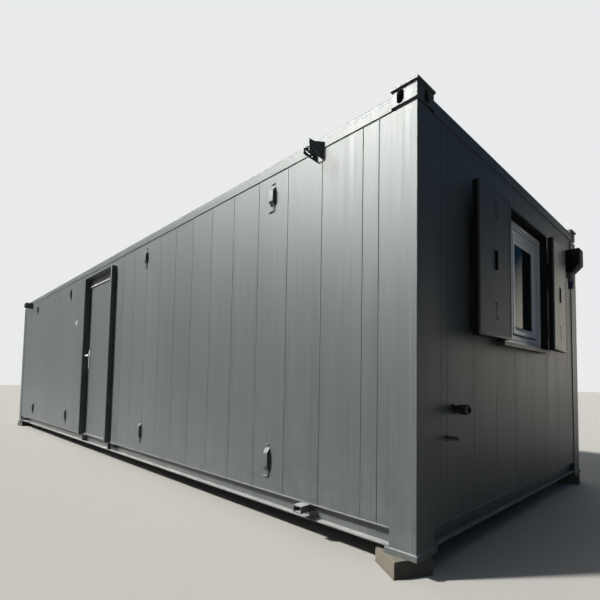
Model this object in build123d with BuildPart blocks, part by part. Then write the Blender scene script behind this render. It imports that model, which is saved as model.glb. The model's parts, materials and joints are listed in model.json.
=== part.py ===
"""Portable steel site cabin: a flat-sided room on a channel frame, with one door and a shuttered window.

Millimetres, +Z up. The long side with the door faces -Y and the end with the window faces +X.
The origin is on the ground, in the middle of the cabin's box.
"""
import os
from math import cos, radians, sin

from build123d import *

os.makedirs("parts", exist_ok=True)

# Overall sizes
length = 9754
width = 3048
hood_reach = 150
lid_overhang = 12
middle_x = -(hood_reach - lid_overhang) / 2

# Ground blocks, corner plates and base channels
block_length = 238
block_width = 219
block_height = 90
block_inset_along = 115
block_inset_across = 95
block_shift = 10
block_turns_and_shifts = {
    (1, -1): (-29, 2, -1.2),
    (1, 1): (12, -2, 1),
    (-1, -1): (8, 1, 0.5),
    (-1, 1): (-15, 2, 0),
}
plate_side = 200
plate_thickness = 30
plate_lip = 8
channel_height = 100
channel_depth = 50
channel_web = 8
channel_flange = 8
joist_width = 50
joist_pitch = 610
board_thickness = 20

# Posts and lifting corners
post_side = 168
post_wall = 5
post_height = 2340
neck_height = 24
neck_inset = 18
corner_height = 88
corner_wall = 14
slot_width = 46
slot_height = 76
slot_from_edge_long = 108
slot_from_edge_end = 95
lid_thickness = 12

# Roof rails and roof
rail_height = 88
rail_depth = 90
rail_sheet = 4
rail_round = 14
rail_step = 6
rail_step_height = 34
rail_under_lid = 26
roof_depth = 90
roof_fall = 16
roof_under_rail = 44

# Walls
wall_recess = 25
wall_thickness = 60
groove_side = 7
groove_from_corner = 239
second_groove = 364
groove_pitch = 334

# Door
door_middle = -20
door_clear_width = 1000
door_gap = 5
door_surround_under_rail = 92
door_head_panel_height = 83
jamb_width = 45
jamb_foot = 12
header_thickness = 12
surround_reach = 50
leaf_thickness = 45
threshold_height = 15
door_hinge_inset = 8
door_hinge_forward = 8
knuckle_radius = 7
hinge_pin_radius = 3
pin_play = 0.3
knuckle_height = 40
knuckle_play = 1
drip_reach = 14
drip_height = 12
hinge_ends_in = 240
handle_from_edge = 50
handle_height = 1303
handle_plate_width = 42
handle_plate_height = 270
handle_plate_thickness = 8
handle_above = 84
spindle_radius = 9
lever_out = 60
lever_length = 125
lever_height = 22
lever_thickness = 12

# Window
window_width = 900
window_middle = -50
sill_bottom = 1240
sill_height = 27
window_under_surround = 41
surround_plate = 12
window_surround_under_rail = 227
window_reach = 50
frame_width = 85
frame_depth = 60
frame_from_post = 10
sash_width = 60
mullion_width = 50
mullion_middle = -213
pane_thickness = 24

# Window shutters
shutter_thickness = 45
shutter_lean = 3
shutter_edge_play = 11
shutter_gap = 6
shutter_knuckle_radius = 6
shutter_tab = 4
shutter_knuckle_in = 160
lock_pocket_width = 52
lock_pocket_height = 132
lock_pocket_depth = 30
lock_pocket_up = 1762
bolt_slot_from_pocket = 326
bolt_slot_height = 106
bolt_slot_width = 10
bolt_slot_arm = 26
bolt_slot_depth = 12
running_gap = 5

# Brackets for legs and steps
hook_places = (1435, 3655)
hook_width = 44
hook_reach = 33
hook_slope = 67
hook_lip = 36
hook_undercut = 16
upper_hook_under_rail = 63
upper_hook_face = 72
lower_hook_over_channel = 321
lower_hook_face = 92
bracket_place = 4160
bracket_width = 58
bracket_sheet = 5
bracket_reach = 132
bracket_flat = 90
bracket_head_rise = 34
bracket_lip = 48
bracket_front_height = 79
bracket_back_height = 88
bracket_slot_length = 42
bracket_slot_width = 12
bracket_slot_turn = -14
bracket_slot_at = (-96, -57)
bracket_hole_radius = 6
bracket_hole_at = (-58, -66)
socket_place = 4065
socket_width = 75
socket_height = 44
socket_reach = 70
socket_wall = 6
step_socket_places = (-484, 670)
step_socket_width = 60
step_socket_height = 52
step_socket_reach = 48

# Services
waste_radius = 25
waste_bore = 22
waste_from_corner = 394
waste_height = 828
waste_reach = 90
collar_radius = 31
collar_length = 30
overflow_radius = 11
overflow_bore = 8.5
overflow_from_corner = 314
overflow_height = 672
overflow_reach = 60
hood_from_corner = 414
hood_under_rail = 255
hood_width = 150
hood_height = 150
hood_flat_top = 90
hood_front_height = 75
inlet_radius = 26
inlet_from_post = 62
inlet_drop = 215
cap_place = (-1060, 1815)
cap_radius = 40
cap_thickness = 14

# Heights worked out from the sizes above
plate_top = block_height + plate_thickness
channel_top = plate_top + channel_height
post_top = plate_top + post_height
corner_bottom = post_top + neck_height
lid_bottom = corner_bottom + corner_height
rail_top = lid_bottom - rail_under_lid + lid_thickness
rail_bottom = rail_top - rail_height
wall_top = rail_top - rail_sheet
wall_inside = wall_recess + wall_thickness
door_surround_top = rail_bottom - door_surround_under_rail
leaf_bottom = channel_top + threshold_height + running_gap
leaf_top = door_surround_top - door_head_panel_height - running_gap
surround_top = rail_bottom - window_surround_under_rail
window_top = surround_top - window_under_surround
hood_top = rail_bottom - hood_under_rail
hook_places_up = {
    rail_bottom - upper_hook_under_rail: upper_hook_face,
    channel_top + lower_hook_over_channel: lower_hook_face,
}
door_left = door_middle - door_clear_width / 2
door_right = door_middle + door_clear_width / 2
window_left = window_middle - window_width / 2
window_right = window_middle + window_width / 2

sides = {
    "front": Plane(origin=(middle_x, -width / 2, 0), x_dir=(1, 0, 0), z_dir=(0, 0, 1)),
    "right": Plane(origin=(middle_x + length / 2, 0, 0), x_dir=(0, 1, 0), z_dir=(0, 0, 1)),
    "back": Plane(origin=(middle_x, width / 2, 0), x_dir=(-1, 0, 0), z_dir=(0, 0, 1)),
    "left": Plane(origin=(middle_x - length / 2, 0, 0), x_dir=(0, -1, 0), z_dir=(0, 0, 1)),
}
half_run = {"front": length / 2, "back": length / 2, "left": width / 2, "right": width / 2}
corners = [(i, j) for i in (-1, 1) for j in (-1, 1)]


def plan(side, height):
    """Level plane at a height: local x runs along the side, local y goes inwards from the posts' face."""
    return sides[side].offset(height)


def section(side, run):
    """Upright plane across the side at a place along it: local x goes inwards and local y goes up."""
    base = sides[side]
    return Plane(origin=base.from_local_coords((run, 0, 0)), x_dir=base.y_dir, z_dir=base.x_dir)


def elevation(side, depth):
    """Upright plane along the side at a depth from the posts' face, facing outwards."""
    base = sides[side]
    return Plane(origin=base.from_local_coords((0, depth, 0)), x_dir=base.x_dir, z_dir=-base.y_dir)


def level_box(x0, x1, y0, y1):
    """Rectangle between two pairs of edges, in the sketch that is open."""
    with Locations(((x0 + x1) / 2, (y0 + y1) / 2)):
        Rectangle(x1 - x0, y1 - y0)


def save(part, name):
    part.label = name
    export_step(part, f"parts/{name}.step")


def corner_point(i, j, along, across):
    """Point inside a corner, at its distances from the end face and from the long face."""
    return middle_x + i * (length / 2 - along), j * (width / 2 - across)


# Ground blocks: one under each corner, none of them laid quite square
with BuildPart() as support_blocks:
    for i, j in corners:
        turn, shifts_along, shifts_across = block_turns_and_shifts[(i, j)]
        inset_along = block_inset_along + shifts_along * block_shift
        inset_across = block_inset_across + shifts_across * block_shift
        with BuildSketch(Plane.XY):
            with Locations(corner_point(i, j, inset_along, inset_across)):
                Rectangle(block_length, block_width, rotation=turn)
        extrude(amount=block_height)
save(support_blocks.part, "support_blocks")

# Corner plates under the posts
with BuildPart() as base_plates:
    with BuildSketch(Plane.XY.offset(block_height)):
        for i, j in corners:
            with Locations(corner_point(i, j, plate_side / 2 - plate_lip, plate_side / 2 - plate_lip)):
                Rectangle(plate_side, plate_side)
    extrude(amount=plate_thickness)
save(base_plates.part, "base_plates")


def base_channel(side):
    """Channel with its open side outwards, its top flange cut away where the door is."""
    reach = half_run[side] - post_side
    with BuildPart() as channel:
        with BuildSketch(section(side, -reach)):
            level_box(0, channel_depth, plate_top, channel_top)
            with Locations(((channel_depth - channel_web) / 2, plate_top + channel_height / 2)):
                Rectangle(
                    channel_depth - channel_web, channel_height - 2 * channel_flange, mode=Mode.SUBTRACT
                )
        extrude(amount=2 * reach)
        if side == "front":
            with BuildSketch(plan(side, channel_top)):
                level_box(door_left, door_right, 0, channel_depth - channel_web)
            extrude(amount=-channel_flange, mode=Mode.SUBTRACT)
    return channel.part


save(Compound([base_channel(side_name) for side_name in sides]), "base_channels")

# Joists across the floor and the board on them
joist_count = int((length - 2 * post_side - joist_width) // joist_pitch) + 1
with BuildPart() as floor_joists:
    with BuildSketch(Plane.XY.offset(plate_top)):
        with Locations((middle_x, 0)):
            with GridLocations(joist_pitch, 0, joist_count, 1):
                Rectangle(joist_width, width - 2 * channel_depth)
    extrude(amount=channel_height)
save(floor_joists.part, "floor_joists")

with BuildPart() as floor_board:
    with BuildSketch(Plane.XY.offset(channel_top)):
        with Locations((middle_x, 0)):
            Rectangle(length - 2 * wall_inside, width - 2 * wall_inside)
            with GridLocations(length - post_side, width - post_side, 2, 2):
                Rectangle(post_side, post_side, mode=Mode.SUBTRACT)
    extrude(amount=board_thickness)
save(floor_board.part, "floor_board")


def corner_post(i, j):
    """Square hollow post, closed at its head."""
    centre = corner_point(i, j, post_side / 2, post_side / 2)
    with BuildPart() as post:
        with BuildSketch(Plane.XY.offset(plate_top)):
            with Locations(centre):
                Rectangle(post_side, post_side)
        extrude(amount=post_height)
        with BuildSketch(Plane.XY.offset(plate_top)):
            with Locations(centre):
                Rectangle(post_side - 2 * post_wall, post_side - 2 * post_wall)
        extrude(amount=post_height - 2 * post_wall, mode=Mode.SUBTRACT)
    return post.part


def lifting_corner(i, j):
    """Hollow cast corner on a neck, with a slot in each outer face and a lid that overhangs outwards."""
    x, y = corner_point(i, j, post_side / 2, post_side / 2)
    inside = post_side - 2 * corner_wall
    slot_up = corner_bottom + corner_height / 2
    with BuildPart() as casting:
        with BuildSketch(Plane.XY.offset(post_top)):
            with Locations((x, y)):
                Rectangle(post_side - 2 * neck_inset, post_side - 2 * neck_inset)
        extrude(amount=neck_height)
        with BuildSketch(Plane.XY.offset(corner_bottom)):
            with Locations((x, y)):
                Rectangle(post_side, post_side)
        extrude(amount=corner_height)
        with BuildSketch(Plane.XY.offset(corner_bottom + corner_wall)):
            with Locations((x, y)):
                Rectangle(inside, inside)
        extrude(amount=corner_height - corner_wall, mode=Mode.SUBTRACT)
        end_face = Plane(origin=(x + i * post_side / 2, y, slot_up), x_dir=(0, 1, 0), z_dir=(i, 0, 0))
        long_face = Plane(
            origin=(x, y + j * post_side / 2, slot_up), x_dir=(1, 0, 0), z_dir=(0, j, 0)
        )
        for face, sign, from_edge in (
            (end_face, j, slot_from_edge_end),
            (long_face, i, slot_from_edge_long),
        ):
            with BuildSketch(face):
                with Locations((sign * (post_side / 2 - from_edge), 0)):
                    SlotOverall(slot_height, slot_width, rotation=90)
            extrude(amount=-corner_wall, mode=Mode.SUBTRACT)
        with BuildSketch(Plane.XY.offset(lid_bottom)):
            with Locations((x + i * lid_overhang / 2, y + j * lid_overhang / 2)):
                Rectangle(post_side + lid_overhang, post_side + lid_overhang)
        extrude(amount=lid_thickness)
    return casting.part


for i, j in corners:
    end_name = "left" if i < 0 else "right"
    side_name = "front" if j < 0 else "back"
    save(lifting_corner(i, j), f"lifting_corner_{side_name}_{end_name}")
save(Compound([corner_post(i, j) for i, j in corners]), "corner_posts")


def roof_rail(side):
    """Folded rail that caps the wall head: a tall face, a small step, a rounded top and a return."""
    reach = half_run[side] - post_side
    step_up = rail_top - rail_step_height
    with BuildPart() as rail:
        with BuildSketch(section(side, -reach)):
            with BuildLine():
                face = Polyline(
                    (0, rail_bottom),
                    (0, step_up),
                    (rail_step, step_up + rail_step),
                    (rail_step, rail_top - rail_round),
                )
                bend = TangentArc(face @ 1, (rail_step + rail_round, rail_top), tangent=(0, 1))
                Polyline(
                    bend @ 1,
                    (rail_depth, rail_top),
                    (rail_depth, wall_top),
                    (rail_step + rail_round, wall_top),
                )
                inner = TangentArc(
                    (rail_step + rail_round, wall_top),
                    (rail_step + rail_sheet, rail_top - rail_round),
                    tangent=(-1, 0),
                )
                Polyline(
                    inner @ 1,
                    (rail_step + rail_sheet, step_up + rail_step),
                    (rail_sheet, step_up),
                    (rail_sheet, rail_bottom + rail_sheet),
                    (wall_recess, rail_bottom + rail_sheet),
                    (wall_recess, rail_bottom),
                    face @ 0,
                )
            make_face()
        extrude(amount=2 * reach)
    return rail.part


save(Compound([roof_rail(side_name) for side_name in sides]), "roof_rails")

# Roof: level below, and falling a little from its ridge to both long sides
roof_edge = rail_top - roof_under_rail - roof_fall
roof_half = width / 2 - wall_inside
with BuildPart() as roof:
    with BuildSketch(Plane.YZ.offset(middle_x - length / 2 + wall_inside)):
        with BuildLine():
            Polyline(
                (-roof_half, roof_edge - roof_depth + roof_fall),
                (roof_half, roof_edge - roof_depth + roof_fall),
                (roof_half, roof_edge),
                (0, roof_edge + roof_fall),
                (-roof_half, roof_edge),
                close=True,
            )
        make_face()
    extrude(amount=length - 2 * wall_inside)
    with BuildSketch(Plane.XY.offset(roof_edge - roof_depth)):
        with Locations((middle_x, 0)):
            with GridLocations(length - post_side, width - post_side, 2, 2):
                Rectangle(post_side, post_side)
    extrude(amount=2 * roof_depth, mode=Mode.SUBTRACT)
save(roof.part, "roof")


def groove_runs(side):
    """Places of the wall sheet's grooves, the same from both ends."""
    half = half_run[side]
    places = [half - groove_from_corner]
    place = half - second_groove
    while place > 0:
        places.append(place)
        place -= groove_pitch
    return [sign * place for place in places for sign in (-1, 1)]


def wall_piece(side, start, end, bottom, top):
    """Insulated wall between two places along a side, with upright grooves in its outer sheet."""
    with BuildPart() as piece:
        with BuildSketch(plan(side, bottom)):
            level_box(start, end, wall_recess, wall_inside)
            for run in groove_runs(side):
                if start + 2 * groove_side < run < end - 2 * groove_side:
                    with Locations((run, wall_recess)):
                        Rectangle(groove_side, groove_side, rotation=45, mode=Mode.SUBTRACT)
        extrude(amount=top - bottom)
    return piece.part


long_end = length / 2 - post_side
short_end = width / 2 - post_side
header_top = door_surround_top + header_thickness
cut_left = window_left - surround_plate
cut_right = window_right + surround_plate

save(wall_piece("front", -long_end, door_left - jamb_width, channel_top, wall_top), "front_wall_left")
save(wall_piece("front", door_right + jamb_width, long_end, channel_top, wall_top), "front_wall_right")
save(
    wall_piece("front", door_left - jamb_width, door_right + jamb_width, header_top, wall_top),
    "front_wall_over_door",
)
save(wall_piece("back", -long_end, long_end, channel_top, wall_top), "back_wall")
save(wall_piece("left", -short_end, short_end, channel_top, wall_top), "left_end_wall")
save(wall_piece("right", -short_end, cut_left, channel_top, wall_top), "window_wall_front")
save(wall_piece("right", cut_right, short_end, channel_top, wall_top), "window_wall_back")
save(wall_piece("right", cut_left, cut_right, channel_top, sill_bottom), "window_wall_under")
save(wall_piece("right", cut_left, cut_right, surround_top, wall_top), "window_wall_over")

# Door surround: two jambs, a thin header, and a foot plate in the channel under each jamb
with BuildPart() as door_surround:
    with BuildSketch(plan("front", channel_top)):
        level_box(door_left - jamb_width, door_left, -surround_reach, wall_inside)
        level_box(door_right, door_right + jamb_width, -surround_reach, wall_inside)
    extrude(amount=header_top - channel_top)
with BuildPart() as door_header:
    with BuildSketch(plan("front", door_surround_top)):
        level_box(door_left, door_right, -surround_reach, wall_inside)
    extrude(amount=header_thickness)
with BuildPart() as jamb_feet:
    with BuildSketch(plan("front", plate_top + channel_flange)):
        level_box(door_left - jamb_foot, door_left, 0, channel_depth - channel_web)
        level_box(door_right, door_right + jamb_foot, 0, channel_depth - channel_web)
    extrude(amount=channel_height - 2 * channel_flange)
save(Compound([door_surround.part, door_header.part, jamb_feet.part]), "door_surround")

with BuildPart() as door_head_panel:
    with BuildSketch(plan("front", leaf_top + running_gap)):
        level_box(door_left, door_right, wall_recess, wall_recess + leaf_thickness)
    extrude(amount=door_surround_top - leaf_top - running_gap)
save(door_head_panel.part, "door_head_panel")

with BuildPart() as door_threshold:
    with BuildSketch(plan("front", channel_top)):
        level_box(door_left, door_right, 0, wall_inside)
    extrude(amount=threshold_height)
save(door_threshold.part, "door_threshold")

# Door leaf, closed and level with the wall's outer sheet, with a drip strip that clears the jamb when open
hinge_run = door_right - door_hinge_inset
hinge_depth = wall_recess - door_hinge_forward
leaf_left = door_left + door_gap
drip_end = hinge_run - hinge_depth - surround_reach - 2 * running_gap
with BuildPart() as door_leaf:
    with BuildSketch(plan("front", leaf_bottom)):
        level_box(leaf_left, door_right - door_gap, wall_recess, wall_recess + leaf_thickness)
    extrude(amount=leaf_top - leaf_bottom)
    with BuildSketch(plan("front", leaf_top - 2 * drip_height)):
        level_box(leaf_left, drip_end, wall_recess - drip_reach, wall_recess)
    extrude(amount=drip_height)
save(door_leaf.part, "door_leaf")

# Door hinges: one knuckle on the leaf between two on the jamb, with the pin in the outer two
leaf_height = leaf_top - leaf_bottom
hinge_heights = [leaf_bottom + hinge_ends_in, leaf_bottom + leaf_height / 2, leaf_top - hinge_ends_in]
knuckle_step = knuckle_height + knuckle_play

with BuildPart() as door_leaf_knuckles:
    for height in hinge_heights:
        with BuildSketch(plan("front", height - knuckle_height / 2)):
            with Locations((hinge_run, hinge_depth)):
                Circle(knuckle_radius)
            level_box(hinge_run - knuckle_radius, hinge_run, hinge_depth, wall_recess)
            with Locations((hinge_run, hinge_depth)):
                Circle(hinge_pin_radius + pin_play, mode=Mode.SUBTRACT)
        extrude(amount=knuckle_height)
save(door_leaf_knuckles.part, "door_leaf_knuckles")

with BuildPart() as door_jamb_knuckles:
    for height in hinge_heights:
        for step in (-1, 1):
            with BuildSketch(plan("front", height - knuckle_height / 2 + step * knuckle_step)):
                with Locations((hinge_run, hinge_depth)):
                    Circle(knuckle_radius)
                level_box(
                    hinge_run, door_right, hinge_depth - knuckle_radius / 2, hinge_depth + knuckle_radius / 2
                )
            extrude(amount=knuckle_height)
        with BuildSketch(plan("front", height - knuckle_height / 2 - knuckle_play)):
            with Locations((hinge_run, hinge_depth)):
                Circle(hinge_pin_radius)
        extrude(amount=knuckle_height + 2 * knuckle_play)
save(door_jamb_knuckles.part, "door_jamb_knuckles")

# Door furniture: a long plate and a lever that turns in it
handle_run = leaf_left + handle_from_edge
plate_bottom = handle_height + handle_above - handle_plate_height
with BuildPart() as handle_plate:
    with BuildSketch(elevation("front", wall_recess)):
        with Locations((handle_run, plate_bottom + handle_plate_height / 2)):
            SlotOverall(handle_plate_height, handle_plate_width, rotation=90)
        with Locations((handle_run, handle_height)):
            Circle(spindle_radius + pin_play, mode=Mode.SUBTRACT)
    extrude(amount=handle_plate_thickness)
save(handle_plate.part, "handle_plate")

with BuildPart() as door_lever:
    with BuildSketch(elevation("front", wall_recess - pin_play)):
        with Locations((handle_run, handle_height)):
            Circle(spindle_radius)
    extrude(amount=lever_out - pin_play)
    with BuildSketch(elevation("front", wall_recess - lever_out + lever_thickness)):
        with Locations((handle_run + (lever_length - lever_height) / 2, handle_height)):
            SlotOverall(lever_length, lever_height)
    extrude(amount=lever_thickness)
save(door_lever.part, "door_lever")


def four_sides(side, left, right, bottom, top, member, front, back):
    """Square frame of four separate members in an upright wall, between two depths."""
    inner_bottom, inner_top = bottom + member, top - member
    pieces = []
    for x0, x1, z0, z1 in (
        (left, left + member, bottom, top),
        (right - member, right, bottom, top),
        (left + member, right - member, bottom, inner_bottom),
        (left + member, right - member, inner_top, top),
    ):
        with BuildPart() as piece:
            with BuildSketch(elevation(side, back)):
                level_box(x0, x1, z0, z1)
            extrude(amount=back - front)
        pieces.append(piece.part)
    return pieces


# Window: a deep plate surround, a sill, and a white frame with one opening light and one fixed
sill_top = sill_bottom + sill_height
filler_front = frame_from_post + surround_plate
with BuildPart() as surround_sides:
    with BuildSketch(plan("right", sill_top)):
        level_box(cut_left, window_left, -window_reach, wall_inside)
        level_box(window_right, cut_right, -window_reach, wall_inside)
    extrude(amount=surround_top - sill_top)
with BuildPart() as surround_head:
    with BuildSketch(plan("right", surround_top - surround_plate)):
        level_box(window_left, window_right, -window_reach, wall_inside)
    extrude(amount=surround_plate)
    with BuildSketch(plan("right", window_top)):
        level_box(window_left, window_right, filler_front, wall_inside)
    extrude(amount=surround_top - surround_plate - window_top)
save(Compound([surround_sides.part, surround_head.part]), "window_surround")

with BuildPart() as window_sill:
    with BuildSketch(plan("right", sill_bottom)):
        level_box(cut_left, cut_right, -window_reach, wall_inside)
    extrude(amount=sill_height)
save(window_sill.part, "window_sill")

frame_back = frame_from_post + frame_depth
light_bottom = sill_top + frame_width
light_top = window_top - frame_width
mullion_left = mullion_middle - mullion_width / 2
mullion_right = mullion_middle + mullion_width / 2
window_members = four_sides(
    "right", window_left, window_right, sill_top, window_top, frame_width, frame_from_post, frame_back
)
with BuildPart() as mullion:
    with BuildSketch(elevation("right", frame_back)):
        level_box(mullion_left, mullion_right, light_bottom, light_top)
    extrude(amount=frame_depth)
save(Compound(window_members + [mullion.part]), "window_frame")

sash_left, sash_right = mullion_right, window_right - frame_width
save(
    Compound(
        four_sides(
            "right", sash_left, sash_right, light_bottom, light_top, sash_width, frame_from_post, frame_back
        )
    ),
    "window_sash",
)

pane_back = frame_from_post + frame_depth / 2 + pane_thickness / 2
with BuildPart() as window_panes:
    with BuildSketch(elevation("right", pane_back)):
        level_box(window_left + frame_width, mullion_left, light_bottom, light_top)
        level_box(
            sash_left + sash_width, sash_right - sash_width, light_bottom + sash_width, light_top - sash_width
        )
    extrude(amount=pane_thickness)
save(window_panes.part, "window_panes")

# Shutters: each closes inside the surround and is shown folded back along the wall, leaning on to it
axis_half = window_width / 2 + surround_plate / 2
axis_out = window_reach + shutter_knuckle_radius + knuckle_play
shutter_bottom = sill_top + running_gap
shutter_top = surround_top - surround_plate - running_gap
shutter_knuckles = [shutter_bottom + shutter_knuckle_in, shutter_top - shutter_knuckle_in]
lean_across = sin(radians(shutter_lean))
lean_along = cos(radians(shutter_lean))


def shutter_axis(hand, height):
    """Point on a shutter's pin; hand is -1 for the leaf nearer the door side."""
    return middle_x + length / 2 + axis_out, window_middle + hand * axis_half, height


def shutter_leaf(hand):
    """Leaf in its open place, with a pocket for the lock, two slots for the bolts, and two knuckles."""
    x_dir = (-hand * lean_across, lean_along, 0)
    face = Plane(origin=shutter_axis(hand, 0), x_dir=x_dir, z_dir=(lean_along, hand * lean_across, 0))
    low, high = sorted((hand * shutter_edge_play, hand * (axis_half - shutter_gap)))
    with BuildPart() as leaf:
        with BuildSketch(face.offset(-knuckle_play)):
            level_box(low, high, shutter_bottom, shutter_top)
        extrude(amount=shutter_thickness)
        with BuildSketch(face.offset(shutter_thickness - knuckle_play)):
            with Locations(((low + high) / 2, lock_pocket_up)):
                Rectangle(lock_pocket_width, lock_pocket_height)
        extrude(amount=-lock_pocket_depth, mode=Mode.SUBTRACT)
        with BuildSketch(face.offset(shutter_thickness - knuckle_play)):
            for end in (-1, 1):
                slot_up = lock_pocket_up + end * bolt_slot_from_pocket
                arm_up = (bolt_slot_height - bolt_slot_width) / 2
                arm_out = (bolt_slot_arm - bolt_slot_width) / 2
                with Locations(((low + high) / 2, slot_up)):
                    Rectangle(bolt_slot_width, bolt_slot_height)
                    with Locations((-arm_out, arm_up), (arm_out, -arm_up)):
                        Rectangle(bolt_slot_arm, bolt_slot_width)
        extrude(amount=-bolt_slot_depth, mode=Mode.SUBTRACT)
        for height in shutter_knuckles:
            level = Plane(
                origin=shutter_axis(hand, height - knuckle_height / 2), x_dir=x_dir, z_dir=(0, 0, 1)
            )
            with BuildSketch(level):
                Circle(shutter_knuckle_radius)
                tab_low, tab_high = sorted((0, hand * shutter_edge_play))
                level_box(tab_low, tab_high, knuckle_play - shutter_tab, knuckle_play)
                Circle(hinge_pin_radius + pin_play, mode=Mode.SUBTRACT)
            extrude(amount=knuckle_height)
    return leaf.part


def shutter_brackets(hand):
    """Fixed knuckles of one shutter, each on a short strap from the surround's front, with the pins."""
    with BuildPart() as brackets:
        for height in shutter_knuckles:
            for step in (-1, 1):
                bottom = height - knuckle_height / 2 + step * knuckle_step
                with BuildSketch(Plane.XY.offset(bottom)):
                    x, y, _ = shutter_axis(hand, bottom)
                    with Locations((x, y)):
                        Circle(shutter_knuckle_radius)
                    level_box(
                        x - shutter_knuckle_radius - knuckle_play, x, y - shutter_tab / 2, y + shutter_tab / 2
                    )
                extrude(amount=knuckle_height)
            with BuildSketch(Plane.XY.offset(height - knuckle_height / 2 - knuckle_play)):
                with Locations((x, y)):
                    Circle(hinge_pin_radius)
            extrude(amount=knuckle_height + 2 * knuckle_play)
    return brackets.part


for hand, hand_name in ((-1, "front"), (1, "back")):
    save(shutter_leaf(hand), f"shutter_{hand_name}")
save(Compound([shutter_brackets(hand) for hand in (-1, 1)]), "shutter_brackets")


def leg_hook(side, run, top, face_height):
    """Folded hook for a leg: a sloped head, an upright face and a lip that steps back in below it."""
    front = wall_recess - hook_reach
    face_top = top - hook_slope
    face_bottom = face_top - face_height
    with BuildPart() as hook:
        with BuildSketch(section(side, run - hook_width / 2)):
            with BuildLine():
                Polyline(
                    (wall_recess, top),
                    (front, face_top),
                    (front, face_bottom),
                    (front + hook_undercut, face_bottom),
                    (wall_recess, face_bottom - hook_lip),
                    close=True,
                )
            make_face()
        extrude(amount=hook_width)
    return hook.part


leg_hooks = [
    leg_hook(side_name, sign * place, top, face_height)
    for side_name in ("front", "back")
    for place in hook_places
    for sign in (-1, 1)
    for top, face_height in hook_places_up.items()
]
save(Compound(leg_hooks), "leg_hooks")


def leg_bracket(side, run):
    """Folded bracket for a jack leg: slotted cheeks, a top that slopes up to the rail, and a front lip."""
    top = rail_bottom + rail_sheet / 2
    head = top + bracket_head_rise
    back_bottom = top - bracket_back_height
    inner_half = bracket_width / 2 - bracket_sheet
    with BuildPart() as bracket:
        with BuildSketch(section(side, run - bracket_width / 2)):
            with BuildLine():
                Polyline(
                    (0, head),
                    (-bracket_flat, top),
                    (-bracket_reach, top),
                    (-bracket_reach, top - bracket_front_height),
                    (0, back_bottom),
                    (wall_recess, back_bottom),
                    (wall_recess, rail_bottom),
                    (0, rail_bottom),
                    close=True,
                )
            make_face()
        extrude(amount=bracket_width)
        with BuildSketch(section(side, run - inner_half)):
            with BuildLine():
                Polyline(
                    (-bracket_sheet, head - 2 * bracket_sheet),
                    (-bracket_flat, top - bracket_sheet),
                    (bracket_sheet - bracket_reach, top - bracket_sheet),
                    (bracket_sheet - bracket_reach, top - bracket_lip),
                    (-2 * bracket_reach, top - bracket_lip),
                    (-2 * bracket_reach, back_bottom - bracket_sheet),
                    (-bracket_sheet, back_bottom - bracket_sheet),
                    close=True,
                )
            make_face()
        extrude(amount=2 * inner_half, mode=Mode.SUBTRACT)
        slot_depth, slot_drop = bracket_slot_at
        hole_depth, hole_drop = bracket_hole_at
        with BuildSketch(section(side, run - bracket_width / 2)):
            with Locations((slot_depth, top + slot_drop)):
                SlotOverall(bracket_slot_length, bracket_slot_width, rotation=bracket_slot_turn)
            with Locations((hole_depth, top + hole_drop)):
                Circle(bracket_hole_radius)
        extrude(amount=bracket_width, mode=Mode.SUBTRACT)
    return bracket.part


def square_socket(side, run, wide, tall, reach, sheet):
    """Short square tube that stands in the channel, under its top flange, and reaches out of it."""
    top = channel_top - channel_flange
    with BuildPart() as socket:
        with BuildSketch(elevation(side, channel_depth - channel_web)):
            level_box(run - wide / 2, run + wide / 2, top - tall, top)
            with Locations((run, top - tall / 2)):
                Rectangle(wide - 2 * sheet, tall - 2 * sheet, mode=Mode.SUBTRACT)
        extrude(amount=reach)
    return socket.part


leg_stubs = []
leg_sockets = []
for side_name in ("front", "back"):
    for sign in (-1, 1):
        leg_stubs.append(leg_bracket(side_name, sign * bracket_place))
        leg_sockets.append(
            square_socket(
                side_name, sign * socket_place, socket_width, socket_height,
                channel_depth - channel_web + socket_reach, socket_wall,
            )
        )
save(Compound(leg_stubs), "leg_stubs")
save(Compound(leg_sockets), "leg_sockets")
step_sockets = [
    square_socket("front", place, step_socket_width, step_socket_height, step_socket_reach, socket_wall)
    for place in step_socket_places
]
save(Compound(step_sockets), "step_sockets")

# Waste pipe, overflow pipe, inlet hood and wall cap
waste_place = (waste_from_corner - width / 2, waste_height)
with BuildPart() as waste_pipe:
    with BuildSketch(elevation("right", wall_recess)):
        with Locations(waste_place):
            Circle(waste_radius)
    extrude(amount=waste_reach + wall_recess)
    with BuildSketch(elevation("right", wall_recess)):
        with Locations(waste_place):
            Circle(collar_radius)
    extrude(amount=collar_length)
    with BuildSketch(elevation("right", wall_recess)):
        with Locations(waste_place):
            Circle(waste_bore)
    extrude(amount=waste_reach + wall_recess, mode=Mode.SUBTRACT)
save(waste_pipe.part, "waste_pipe")

with BuildPart() as overflow_pipe:
    with BuildSketch(elevation("right", wall_recess)):
        with Locations((overflow_from_corner - width / 2, overflow_height)):
            Circle(overflow_radius)
            Circle(overflow_bore, mode=Mode.SUBTRACT)
    extrude(amount=overflow_reach + wall_recess)
save(overflow_pipe.part, "overflow_pipe")

hood_run = width / 2 - hood_from_corner
hood_middle = hood_top - hood_height / 2
hood_bottom = hood_top - hood_height
with BuildPart() as inlet_hood:
    with BuildSketch(section("right", hood_run - hood_width / 2)):
        with BuildLine():
            Polyline(
                (wall_recess, hood_top),
                (-hood_flat_top, hood_top),
                (-hood_reach, hood_middle + hood_front_height / 2),
                (-hood_reach, hood_middle - hood_front_height / 2),
                (-hood_flat_top, hood_bottom),
                (wall_recess, hood_bottom),
                close=True,
            )
        make_face()
    extrude(amount=hood_width)
    with BuildSketch(plan("right", hood_bottom)):
        with Locations((hood_run, -inlet_from_post)):
            Circle(inlet_radius)
    extrude(amount=-inlet_drop)
save(inlet_hood.part, "inlet_hood")

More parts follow.
